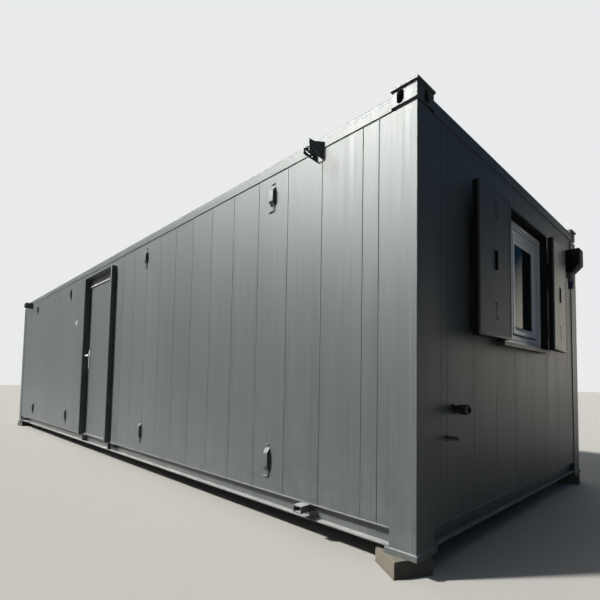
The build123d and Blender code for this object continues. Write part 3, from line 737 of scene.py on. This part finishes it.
def add_sheet(side, start, end, bottom, top):
    outline = [(start, sheet_back), (start, sheet_in)]
    for place in seam_places(side):
        if start + 0.01 < place < end - 0.01:
            outline += [(place + offset, sheet_in + dip) for offset, dip in groove]
    outline += [(end, sheet_in), (end, sheet_back)]
    add_prism(sheets, outline, up_side(side), bottom, top)


long_end = half_length - post_side
short_end = half_width - post_side
door_runs = (surround_low.x - middle_x, surround_high.x - middle_x)
add_sheet("front", -long_end, door_runs[0], channel_high.z, rail_low)
add_sheet("front", door_runs[1], long_end, channel_high.z, rail_low)
add_sheet("front", *door_runs, surround_high.z, rail_low)
add_sheet("back", -long_end, long_end, channel_high.z, rail_low)
add_sheet("left", -short_end, short_end, channel_high.z, rail_low)
add_sheet("right", -short_end, window_low.y, channel_high.z, rail_low)
add_sheet("right", window_high.y, short_end, channel_high.z, rail_low)
add_sheet("right", window_low.y, window_high.y, channel_high.z, sill_low)
add_sheet("right", window_low.y, window_high.y, window_high.z, rail_low)
piece("wall_sheets", sheets, wall_paint, smooth=20)

# Welds where the posts, channels, castings, brackets and sockets meet
plates_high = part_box("base_plates")[1]
bracket_low, bracket_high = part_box("leg_stubs")
bracket_run, bracket_half = 4.16, 0.029
socket_run, socket_half = 4.065, 0.0375
web_in = 0.041
channel_wall = 0.008
welds = bmesh.new()


def weld(start, end, size=0.0032):
    start, end = Vector(start), Vector(end)
    count = max(4, int((end - start).length / 0.006))
    add_rod(welds, [start.lerp(end, k / count) for k in range(count + 1)], size, 6, 0.35)


def weld_up(side, run, depth, bottom, top, size=0.0032):
    weld(at(side, run, depth, bottom), at(side, run, depth, top), size)


for side, half in side_halves:
    for sign in (-1, 1):
        run = sign * (half - post_side)
        weld(at(side, run, 0.001, channel_high.z), at(side, run, 0.006, channel_high.z))
        weld_up(side, run, web_in, channel_low.z + channel_wall, channel_high.z - channel_wall)
        weld_up(side, run, -0.001, channel_low.z, channel_low.z + channel_wall)
        low_run, high_run = sorted((run, sign * half))
        weld(at(side, low_run, 0, plates_high.z), at(side, high_run, 0, plates_high.z), 0.0035)
socket_top = channel_high.z - 0.0085
for side in ("front", "back"):
    for sign in (-1, 1):
        for cheek in (-bracket_half, bracket_half):
            run = sign * bracket_run + cheek
            weld_up(side, run, 0.0, bracket_low.z + 0.01, bracket_high.z - 0.006, 0.0028)
        left, far = sign * socket_run - socket_half, sign * socket_run + socket_half
        for run in (left, far):
            weld_up(side, run, web_in, channel_high.z - 0.052, channel_high.z - 0.01, 0.0028)
        weld(at(side, left, 0, socket_top), at(side, far, 0, socket_top), 0.0026)
piece("weld_runs", welds, plain_paint, smooth=60)

# Screws with low domed heads, beside the corner seams
screw_heights = (0.42, 0.95, 1.52, 2.02)
screws = bmesh.new()


def add_screw(bm, side, run, depth, height, radius):
    place = at(side, run, depth, height)
    outward = at(side, run, depth - 1, height) - place
    dome = [(radius * 0.85, 0.0022), (radius * 0.5, 0.003), (0.001, 0.0033)]
    add_turned(bm, [(radius, -0.001), (radius, 0.001)] + dome, place, outward, 14)


for side, half in side_halves:
    for sign in (-1, 1):
        for height in screw_heights:
            add_screw(screws, side, sign * (half - edge_seam - 0.012), sheet_in, height, 0.0042)
piece("seam_screws", screws, plain_paint)

# Door furniture: rounded plate with screws and key cylinder, and a bent round lever
plate_low, plate_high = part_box("handle_plate")
lever_low, lever_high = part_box("door_lever")
plate_x = (plate_low.x + plate_high.x) / 2
plate_half = (plate_high.x - plate_low.x) / 2
plate_face = plate_low.y
spindle_z = 1.303
key_z = spindle_z - 0.092
outward = (0, -1, 0)
plate = bmesh.new()


def on_plate(a, b, along):
    return Vector((a, along, b))


outline = []
for centre_z, start in ((plate_high.z - plate_half, 0), (plate_low.z + plate_half, 180)):
    for k in range(13):
        angle = math.radians(start + 15 * k)
        outline.append((plate_x + plate_half * math.cos(angle), centre_z + plate_half * math.sin(angle)))
add_prism(plate, outline, on_plate, plate_high.y, plate_face)
soften(plate, 0.0022, 3)
screw_profile = [(0.0048, -0.001), (0.0048, 0.0008), (0.0035, 0.0018), (0.001, 0.0021)]
cylinder_profile = [(0.0087, -0.001), (0.0087, 0.0035), (0.0078, 0.0045), (0.001, 0.0045)]
rose_profile = [
    (0.017, -0.001), (0.017, 0.004), (0.0155, 0.0065), (0.0125, 0.0075), (0.0118, 0.0075), (0.0118, 0.0)
]
for height in (plate_low.z + 0.02, plate_high.z - 0.02):
    add_turned(plate, screw_profile, (plate_x, plate_face, height), outward, 16)
add_turned(plate, cylinder_profile, (plate_x, plate_face, key_z), outward, 24)
key_left, key_right, key_foot = plate_x - 0.0045, plate_x + 0.0045, key_z - 0.024
add_prism(
    plate, [(key_left, key_foot), (key_right, key_foot), (key_right, key_z), (key_left, key_z)],
    on_plate, plate_face + 0.001, plate_face - 0.0035,
)
add_turned(plate, rose_profile, (plate_x, plate_face, spindle_z), outward, 32)
piece("door_plate", plate, steel, ("handle_plate",), body="door")

# Black keyway on the cylinder's face: painted shade of the hole.
key_slot_painted_shade = bmesh.new()
add_box(
    key_slot_painted_shade, (plate_x - 0.0009, plate_face - 0.0048, key_z - 0.005),
    (plate_x + 0.0009, plate_face - 0.0043, key_z + 0.005),
)
soften(key_slot_painted_shade, 0.0002, 1)
piece("key_slot_painted_shade", key_slot_painted_shade, rubber_and_painted_shade, body="door")

lever = bmesh.new()
neck_out = lever_low.y + 0.01
neck_bend = 0.014
arm_end = lever_high.x - 0.01
path = [Vector((plate_x, lever_high.y - 0.002, spindle_z)), Vector((plate_x, neck_out + 0.016, spindle_z))]
for k in range(1, 7):
    angle = math.radians(15 * k)
    x = plate_x + neck_bend * (1 - math.cos(angle))
    path.append(Vector((x, neck_out + neck_bend - neck_bend * math.sin(angle), spindle_z)))
arm_start = path[-1].x
for k in range(1, 9):
    path.append(Vector((arm_start + (arm_end - arm_start) * k / 8, neck_out, spindle_z)))
for k in range(1, 5):
    angle = math.radians(22.5 * k)
    x = arm_end + 0.0072 * math.sin(angle)
    path.append(Vector((x, neck_out + 0.012 * (1 - math.cos(angle)), spindle_z)))
add_rod(lever, path, 0.0092, 18)
collar_profile = [(0.0112, 0.0), (0.0112, 0.01), (0.01, 0.012)]
add_turned(lever, collar_profile, (plate_x, plate_face - 0.0005, spindle_z), outward, 28)
piece("lever_handle", lever, steel, ("door_lever",), body="lever")

# Door stops and their seals, on the jambs and header behind the leaf
leaf_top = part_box("door_leaf")[1].z
door_left = -0.52
door_right = 0.48
leaf_back = 0.07
stop_width = 0.022
stop_depths = (leaf_back + 0.006, lining_in - 0.001)
stop_top = leaf_top + 0.088
stops = bmesh.new()
for runs in ((door_left, door_left + stop_width), (door_right - stop_width, door_right)):
    add_side_box(stops, "front", runs, stop_depths, (room_low, stop_top))
head_runs = (door_left + stop_width, door_right - stop_width)
add_side_box(stops, "front", head_runs, stop_depths, (leaf_top - 0.02, stop_top))
soften(stops, 0.0015)
piece("door_stops", stops, plain_paint)

seals = bmesh.new()
for run in (door_left + 0.012, door_right - 0.012):
    add_rod(seals, [at("front", run, leaf_back + 0.0038, 0.245 + 0.4 * k) for k in range(6)], 0.0028, 8)
piece("door_seals", seals, rubber_and_painted_shade)

# Pale folded cover on the leaf's drip strip
drip = bmesh.new()
drip_top = leaf_top - 0.012
add_prism(drip, [
    (0.0242, drip_top + 0.001), (0.01, drip_top + 0.0004), (0.01, drip_top - 0.012),
    (0.0112, drip_top - 0.012), (0.0112, drip_top - 0.0002), (0.0242, drip_top + 0.0002),
], along_side("front"), door_left + 0.006, door_right - 0.085)
piece("drip_cover", drip, sealant, body="door")

# Window: mitred white frame, sash and mullion with beads, seals, black rings of painted shade, a head vent
# and a line of sealant
frame_low, frame_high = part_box("window_frame")
sash_low, sash_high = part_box("window_sash")
frame_runs, frame_heights = (frame_low.y, frame_high.y), (frame_low.z, frame_high.z)
sash_runs, sash_heights = (sash_low.y, sash_high.y), (sash_low.z, sash_high.z)
frame_width = 0.085
sash_width = 0.06
mullion_middle = -0.213
mullion_half = 0.025
frame_profile = [
    (0.0, 0.014), (0.004, 0.01), (0.036, 0.01), (0.04, 0.0125), (0.042, 0.019), (0.062, 0.019),
    (0.066, 0.0205), (0.082, 0.0262), (0.085, 0.0275), (0.085, 0.07), (0.0, 0.07),
]
sash_profile = [
    (0.002, 0.02), (0.002, 0.0145), (0.006, 0.0115), (0.03, 0.0115), (0.033, 0.013), (0.036, 0.018),
    (0.04, 0.0195), (0.056, 0.0255), (0.06, 0.027), (0.06, 0.07), (0.002, 0.07),
]
mullion_profile = [
    (-0.025, 0.07), (-0.025, 0.0275), (-0.022, 0.0262), (-0.013, 0.019), (-0.008, 0.012), (-0.005, 0.01),
    (0.005, 0.01), (0.008, 0.012), (0.013, 0.019), (0.022, 0.0262), (0.025, 0.0275), (0.025, 0.07),
]


def on_window(run, height, depth):
    return at("right", run, depth, height)


def grown(ends, amount):
    """A pair of ends moved apart, or together where the amount is below 0."""
    return ends[0] - amount, ends[1] + amount


white = bmesh.new()
add_mitred(white, on_window, frame_runs, frame_heights, frame_profile)
light_bottom, light_top = grown(frame_heights, -frame_width)
mullion = [(mullion_middle + offset, depth) for offset, depth in mullion_profile]
add_prism(white, mullion, up_side("right"), light_bottom - 0.018, light_top + 0.018)
piece("white_window_frame", white, white_frame, ("window_frame",), smooth=28)

sash = bmesh.new()
add_mitred(sash, on_window, sash_runs, sash_heights, sash_profile)
piece("white_sash", sash, white_frame, ("window_sash",), smooth=28)

gaskets_and_painted_shade = bmesh.new()
fixed_runs = (frame_low.y + frame_width, mullion_middle - mullion_half)
glazed = (
    (grown(sash_runs, -sash_width), grown(sash_heights, -sash_width), 0.0275),
    (fixed_runs, (light_bottom, light_top), 0.028),
)
for runs, heights, depth in glazed:
    add_mitred(gaskets_and_painted_shade, on_window, runs, heights, [
        (-0.0015, depth), (0.0008, depth - 0.0012), (0.0032, depth), (0.0032, depth + 0.006),
        (-0.0015, depth + 0.006),
    ])
# Black ring in the gap round the sash: painted shade of that gap.
add_mitred(gaskets_and_painted_shade, on_window, grown(sash_runs, 0.006), grown(sash_heights, 0.006), [
    (-0.001, 0.024), (0.0005, 0.0215), (0.007, 0.02), (0.0085, 0.022), (0.0085, 0.03), (-0.001, 0.03),
])
# Thin black ring in the frame's step: a painted shade line.
add_mitred(gaskets_and_painted_shade, on_window, grown(frame_runs, -0.042), grown(frame_heights, -0.042), [
    (0.0, 0.018), (0.0035, 0.0186), (0.004, 0.02), (0.0, 0.02),
])
piece("window_gaskets", gaskets_and_painted_shade, rubber_and_painted_shade)

seal_line = bmesh.new()
add_mitred(seal_line, on_window, frame_runs, frame_heights, [
    (-0.0005, 0.004), (0.003, 0.0085), (0.004, 0.012), (-0.0005, 0.012),
])
piece("window_sealant", seal_line, sealant)

vent = bmesh.new()
vent_middle = (frame_low.y + frame_high.y) / 2
vent_half = 0.18
vent_slats = 28
vent_foot = frame_high.z - 0.032
vent_head = frame_high.z - 0.008
add_prism(vent, [
    (0.0105, vent_foot), (-0.004, vent_foot + 0.002), (-0.006, vent_head - 0.008), (0.002, vent_head),
    (0.0105, vent_head),
], along_side("right"), vent_middle - vent_half, vent_middle + vent_half)
soften(vent, 0.0012)
for k in range(vent_slats):
    run = vent_middle - vent_half + 0.012 + k * 0.0124
    heights = (vent_foot - 0.0025, vent_foot + 0.003)
    add_side_box(vent, "right", (run, run + 0.0022), (-0.0045, 0.008), heights)
piece("head_vent", vent, white_frame)

# Shutters: folded lip round each leaf's face, a black band on its edges that is a seal and painted shade,
# and the lock's case with its pocket and bolt slots lined black as painted shade
axis_half = 0.456
axis_out = 0.057
window_middle = -0.05
lean = math.radians(3)
leaf_box_low, leaf_box_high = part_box("shutter_front")
leaf_runs, leaf_heights = (0.011, 0.45), (leaf_box_low.z, leaf_box_high.z)
face_out = 0.044
pocket_runs, pocket_heights = (0.205, 0.256), (1.6965, 1.8275)
pocket_wall = 0.001
pocket_floor = face_out - 0.0295
slot_outs = (face_out - 0.0118, face_out - 0.009)
slot_middles = (1.762 - 0.326, 1.762 + 0.326)
slot_half = 0.0525
slot_end = 0.009


def dress_shutter(name, hand):
    """Lip, black edge band (seal and painted shade) and lock with black pocket and slot floors (painted
    shade) of one leaf; hand is -1 for the leaf nearer the front and 1 for the other.
    """
    pin = Vector((middle_x + half_length + axis_out, window_middle + hand * axis_half, 0))
    along = Vector((-hand * math.sin(lean), math.cos(lean), 0))
    outward = Vector((math.cos(lean), hand * math.sin(lean), 0))

    def leaf_point(run, rise, out):
        """Place on the leaf: run from its pin, height, and distance out from its pin's plane."""
        return pin + along * (hand * run) + outward * out + Vector((0, 0, rise))

    def leaf_box(bm, runs, heights, outs):
        (left, far), (low, high) = runs, heights
        corners = ((left, low), (far, low), (far, high), (left, high))
        add_rings(bm, [[leaf_point(run, rise, out) for run, rise in corners] for out in outs])

    trim = bmesh.new()
    add_mitred(trim, leaf_point, leaf_runs, leaf_heights, [
        (-0.0008, 0.02), (-0.0008, face_out + 0.0012), (0.001, face_out + 0.002), (0.014, face_out + 0.002),
        (0.0148, face_out + 0.0008), (0.0148, face_out - 0.004), (0.001, face_out - 0.004), (0.001, 0.02),
    ])
    add_mitred(trim, leaf_point, grown(pocket_runs, 0.0005), grown(pocket_heights, 0.0005), [
        (-0.005, face_out - 0.003), (-0.005, face_out + 0.0015), (-0.0035, face_out + 0.0026),
        (0.001, face_out + 0.0026), (0.002, face_out + 0.0015), (0.002, face_out - 0.003),
    ])
    piece(f"{name}_lip", trim, surround_paint, body=name)

    # Black band round the leaf's edges: a rubber seal, and painted shade on those edges.
    edges = bmesh.new()
    add_mitred(edges, leaf_point, leaf_runs, leaf_heights, [
        (-0.0009, 0.0), (-0.0014, 0.003), (-0.0014, 0.006), (-0.0009, 0.009), (-0.0009, 0.016),
        (-0.0014, 0.019), (-0.0014, 0.024), (-0.0009, 0.027), (-0.0009, 0.034), (0.002, 0.034), (0.002, 0.0),
    ])
    piece(f"{name}_edge_seal_and_painted_shade", edges, rubber_and_painted_shade, body=name)

    # Lock case, with a black liner in its pocket and black floors in the bolt slots: painted shade in the
    # hollows.
    lock_and_painted_shade = bmesh.new()
    (left, far), (low, high) = pocket_runs, pocket_heights
    between = grown(pocket_runs, -pocket_wall)
    leaf_box(lock_and_painted_shade, pocket_runs, pocket_heights, (pocket_floor, pocket_floor + 0.002))
    for runs, heights in (
        ((left, left + pocket_wall), pocket_heights), ((far - pocket_wall, far), pocket_heights),
        (between, (low, low + pocket_wall)), (between, (high - pocket_wall, high)),
    ):
        leaf_box(lock_and_painted_shade, runs, heights, (pocket_floor, face_out - 0.001))
    leaf_box(lock_and_painted_shade, (0.222, 0.239), (1.722, 1.802), (pocket_floor, pocket_floor + 0.008))
    for middle in slot_middles:
        bottom, top = middle - slot_half, middle + slot_half
        leaf_box(lock_and_painted_shade, (0.226, 0.235), (bottom, top), slot_outs)
        leaf_box(lock_and_painted_shade, (0.218, 0.2262), (top - slot_end, top), slot_outs)
        leaf_box(lock_and_painted_shade, (0.2348, 0.243), (bottom, bottom + slot_end), slot_outs)
    piece(f"{name}_lock", lock_and_painted_shade, rubber_and_painted_shade, body=name)


dress_shutter("shutter_front", -1)
dress_shutter("shutter_back", 1)

# Inlet hood: moulded cover on a wall plate, with the inlet's body and its blue collar below
hood_low, hood_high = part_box("inlet_hood")
hood_middle = (hood_low.y + hood_high.y) / 2
hood_half = (hood_high.y - hood_low.y) / 2
hood_bottom = hood_high.z - 0.15
hood_top = hood_high.z + 0.062
hood_out = -0.15
plate_out = -0.034
inlet_out = -0.058
hood = bmesh.new()
add_prism(hood, [
    (plate_out, hood_top), (hood_out + 0.001, hood_top), (hood_out, hood_top - 0.001),
    (hood_out, hood_bottom + 0.06), (-0.086, hood_bottom), (plate_out, hood_bottom),
], along_side("right"), hood_middle - hood_half, hood_middle + hood_half)
soften(hood, 0.003, 2, 12)
piece("hood_cover", hood, black_shell, ("inlet_hood",), smooth=25)

inlet = bmesh.new()
inlet_boxes = (
    (hood_half - 0.002, (plate_out - 0.0005, wall_face_in), (hood_bottom + 0.055, hood_top - 0.002)),
    (0.05, (-0.01, wall_face_in), (hood_bottom - 0.05, hood_bottom + 0.056)),
)
for half, depths, heights in inlet_boxes:
    add_side_box(inlet, "right", (hood_middle - half, hood_middle + half), depths, heights)
soften(inlet, 0.003, 2)
inlet_profile = [(0.03, -0.004), (0.03, 0.02), (0.033, 0.022), (0.033, 0.034), (0.029, 0.04), (0.027, 0.096)]
add_turned(inlet, inlet_profile, at("right", hood_middle, inlet_out, hood_bottom + 0.004), (0, 0, -1), 36)
neck_runs = (hood_middle - 0.02, hood_middle + 0.02)
add_side_box(inlet, "right", neck_runs, (-0.05, -0.008), (hood_bottom - 0.044, hood_bottom + 0.004))
for run in (-0.04, 0.04):
    add_screw(inlet, "right", hood_middle + run, -0.01, hood_bottom - 0.036, 0.004)
piece("inlet_body", inlet, socket_grey)

collar = bmesh.new()
collar_profile = [(0.024, 0.0), (0.0255, 0.002), (0.0255, 0.014)]
for k in range(3):
    rib = 0.014 + 0.013 * k
    for radius, rise in ((0.0255, 0.001), (0.024, 0.003), (0.024, 0.008), (0.0255, 0.01)):
        collar_profile.append((radius, rib + rise))
collar_profile += [(0.0255, 0.058), (0.0235, 0.062), (0.02, 0.062), (0.02, 0.02), (0.001, 0.02)]
add_turned(collar, collar_profile, at("right", hood_middle, inlet_out, hood_bottom - 0.092), (0, 0, -1), 36)
piece("inlet_collar", collar, socket_blue, smooth=35)


# Waste pipe with a wall flange, a ribbed coupling and an open end, and the thinner overflow pipe
def pipe_start(node):
    """Where a pipe leaves the wall's sheet, and how far it stands out from there."""
    low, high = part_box(node)
    wall_x = middle_x + half_length - sheet_in
    return Vector((wall_x, (low.y + high.y) / 2, (low.z + high.z) / 2)), high.x - wall_x


buried = sheet_in - wall_face_in
waste_place, reach = pipe_start("waste_pipe")
coupling_ribs = 12
waste = bmesh.new()
add_turned(waste, [
    (0.0225, buried), (0.0225, 0.0), (0.0285, 0.0), (0.031, 0.001), (0.031, 0.004), (0.0255, 0.007),
    (0.0225, 0.009), (0.0225, reach - 0.066), (0.027, reach - 0.065), (0.029, reach - 0.062),
    (0.029, reach - 0.054), (0.0262, reach - 0.052), (0.0262, reach - 0.022), (0.029, reach - 0.019),
    (0.029, reach - 0.004), (0.0275, reach), (0.0225, reach), (0.0215, reach - 0.002),
    (0.0205, reach - 0.045), (0.001, reach - 0.05),
], waste_place, (1, 0, 0), 40)
for k in range(coupling_ribs):
    angle = 2 * math.pi * k / coupling_ribs
    spoke = Vector((0, math.cos(angle), math.sin(angle)))
    start = waste_place + Vector((reach - 0.05, 0, 0)) + spoke * 0.0262
    add_rod(waste, [start, start + Vector((0.029, 0, 0))], 0.0018, 6)
piece("waste_outlet", waste, pipe_black, ("waste_pipe",), smooth=35)

overflow_place, reach = pipe_start("overflow_pipe")
overflow = bmesh.new()
add_turned(overflow, [
    (0.0106, buried), (0.0106, 0.0), (0.016, 0.0), (0.017, 0.001), (0.0165, 0.004), (0.012, 0.006),
    (0.0106, 0.008), (0.0106, reach - 0.001), (0.01, reach), (0.0086, reach), (0.0082, reach - 0.002),
    (0.008, reach - 0.04), (0.001, reach - 0.042),
], overflow_place, (1, 0, 0), 28)
piece("overflow_outlet", overflow, pipe_black, ("overflow_pipe",), smooth=35)

# Round cap on the wall, left of the door
cap_low, cap_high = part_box("wall_cap")
cap_middle = Vector(((cap_low.x + cap_high.x) / 2, sheet_in - half_width, (cap_low.z + cap_high.z) / 2))
cap = bmesh.new()
add_turned(cap, [
    (0.03, buried), (0.03, 0.0), (0.0385, 0.0), (0.04, 0.0015), (0.04, 0.005), (0.038, 0.008),
    (0.033, 0.0095), (0.03, 0.009), (0.029, 0.0105), (0.02, 0.013), (0.01, 0.0139), (0.001, 0.014),
], cap_middle, (0, -1, 0), 40)
piece("round_cap", cap, white_frame, ("wall_cap",), smooth=35)

# Roof: raised seams over the sheet's joints, from the ridge down to both sides
roof_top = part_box("roof")[1].z
roof_fall = 0.016
seam_count = 9
seam_profile = ((-0.016, 0.0), (-0.007, 0.014), (0.007, 0.014), (0.016, 0.0))
seam_bed = 0.001
seam_reach = half_width - lining_in - 0.004
seams = bmesh.new()
for k in range(seam_count):
    run = -half_length + lining_in + (k + 0.5) * 2 * (half_length - lining_in) / seam_count
    for sign in (-1, 1):
        rings = []
        for place, foot in ((0.0, roof_top - seam_bed), (seam_reach, roof_top - roof_fall - seam_bed)):
            rings.append([Vector((middle_x + run + x, sign * place, foot + z)) for x, z in seam_profile])
        add_rings(seams, rings)
soften(seams, 0.002)
piece("roof_seams", seams, slot_material["roof_sheet"])

# Floor: pale to the eye and in gloss, a quieter grey for the light that it throws back
floor_seen = (0.42, 0.4, 0.365)
floor_thrown_back = (0.07, 0.069, 0.065)
ground = bmesh.new()
bmesh.ops.create_grid(ground, x_segments=1, y_segments=1, size=80)
ground_mesh = bpy.data.meshes.new("studio_floor")
ground.to_mesh(ground_mesh)
ground.free()
floor = bpy.data.objects.new("studio_floor", ground_mesh)
bpy.context.scene.collection.objects.link(floor)
floor_coat, g, shader = new_material("studio_floor", Roughness=0.9, Specular_IOR_Level=0.1)
by_camera, seen = g.ray_kinds()
g.feed(shader.inputs["Base Color"], g.mix(seen, floor_thrown_back, floor_seen))
ground_mesh.materials.append(floor_coat)

# Sun from the left front, soft, and left out of gloss, where the sky's glow stands for it
to_sun = Vector((-0.5, -0.575, 0.65)).normalized()
sun_data = bpy.data.lights.new("key", "SUN")
sun_data.energy = 5.6
sun_data.angle = math.radians(4)
sun = bpy.data.objects.new("key", sun_data)
sun.visible_glossy = False
sun.rotation_mode = "QUATERNION"
sun.rotation_quaternion = to_sun.to_track_quat("Z", "Y")
bpy.context.scene.collection.objects.link(sun)

# Studio sky: one for soft light, darker past the window's end, one for gloss, and a pale one for the eye
to_glow = Vector((-0.48, -0.61, 0.64)).normalized()
glow_tightness = 36.0
glow_colour = (49.0, 49.0, 47.0)
open_sky = (0.32, 0.34, 0.36)
sky_behind = (1.05, 1.07, 1.1)
shade_low, shade_high = (0.095, 0.096, 0.094), (0.034, 0.066, 0.11)
east_low, east_high = (0.034, 0.038, 0.038), (0.004, 0.046, 0.112)
east_band = (2.3, 2.15, 1.85)
west_far, west_near = (0.03, 0.035, 0.035), (0.2, 0.22, 0.225)
backdrop = (0.82, 0.83, 0.84)

world = bpy.data.worlds.new("studio")
bpy.context.scene.world = world
world.use_nodes = True
g = Graph(world.node_tree)
direction = g.node("ShaderNodeTexCoord").outputs["Generated"]
dx, dy, dz = g.split(direction)
by_camera, seen = g.ray_kinds()
height = g.span(dz, 0.05, 0.4)
ambient = g.mix(g.span(dx, -0.25, 0.45), open_sky, g.mix(height, shade_low, shade_high))
behind = g.times(g.span(dy, 0.45, 0.8), g.span(dx, 0.3, 0.0))
ambient = g.mix(behind, ambient, sky_behind)
east = g.mix(height, east_low, east_high)
east = g.mix(g.times(g.span(dy, 0.905, 0.97), g.span(dz, 0.55, 0.25)), east, east_band)
west = g.mix(g.span(dx, -0.95, -0.6), west_far, west_near)
mirrored = g.mix(g.span(dx, -0.4, 0.05), west, east)
off_glow = g.minus(g.dot(direction, to_glow), 1.0)
glow = g.math("EXPONENT", g.times(off_glow, glow_tightness))
mirrored = g.mix(g.times(glow, g.span(dx, 0.04, -0.14)), mirrored, glow_colour)
shown = g.mix(by_camera, mirrored, backdrop)
g.feed(world.node_tree.nodes["Background"].inputs[0], g.mix(seen, ambient, shown))

bpy.context.scene.view_settings.view_transform = "Standard"
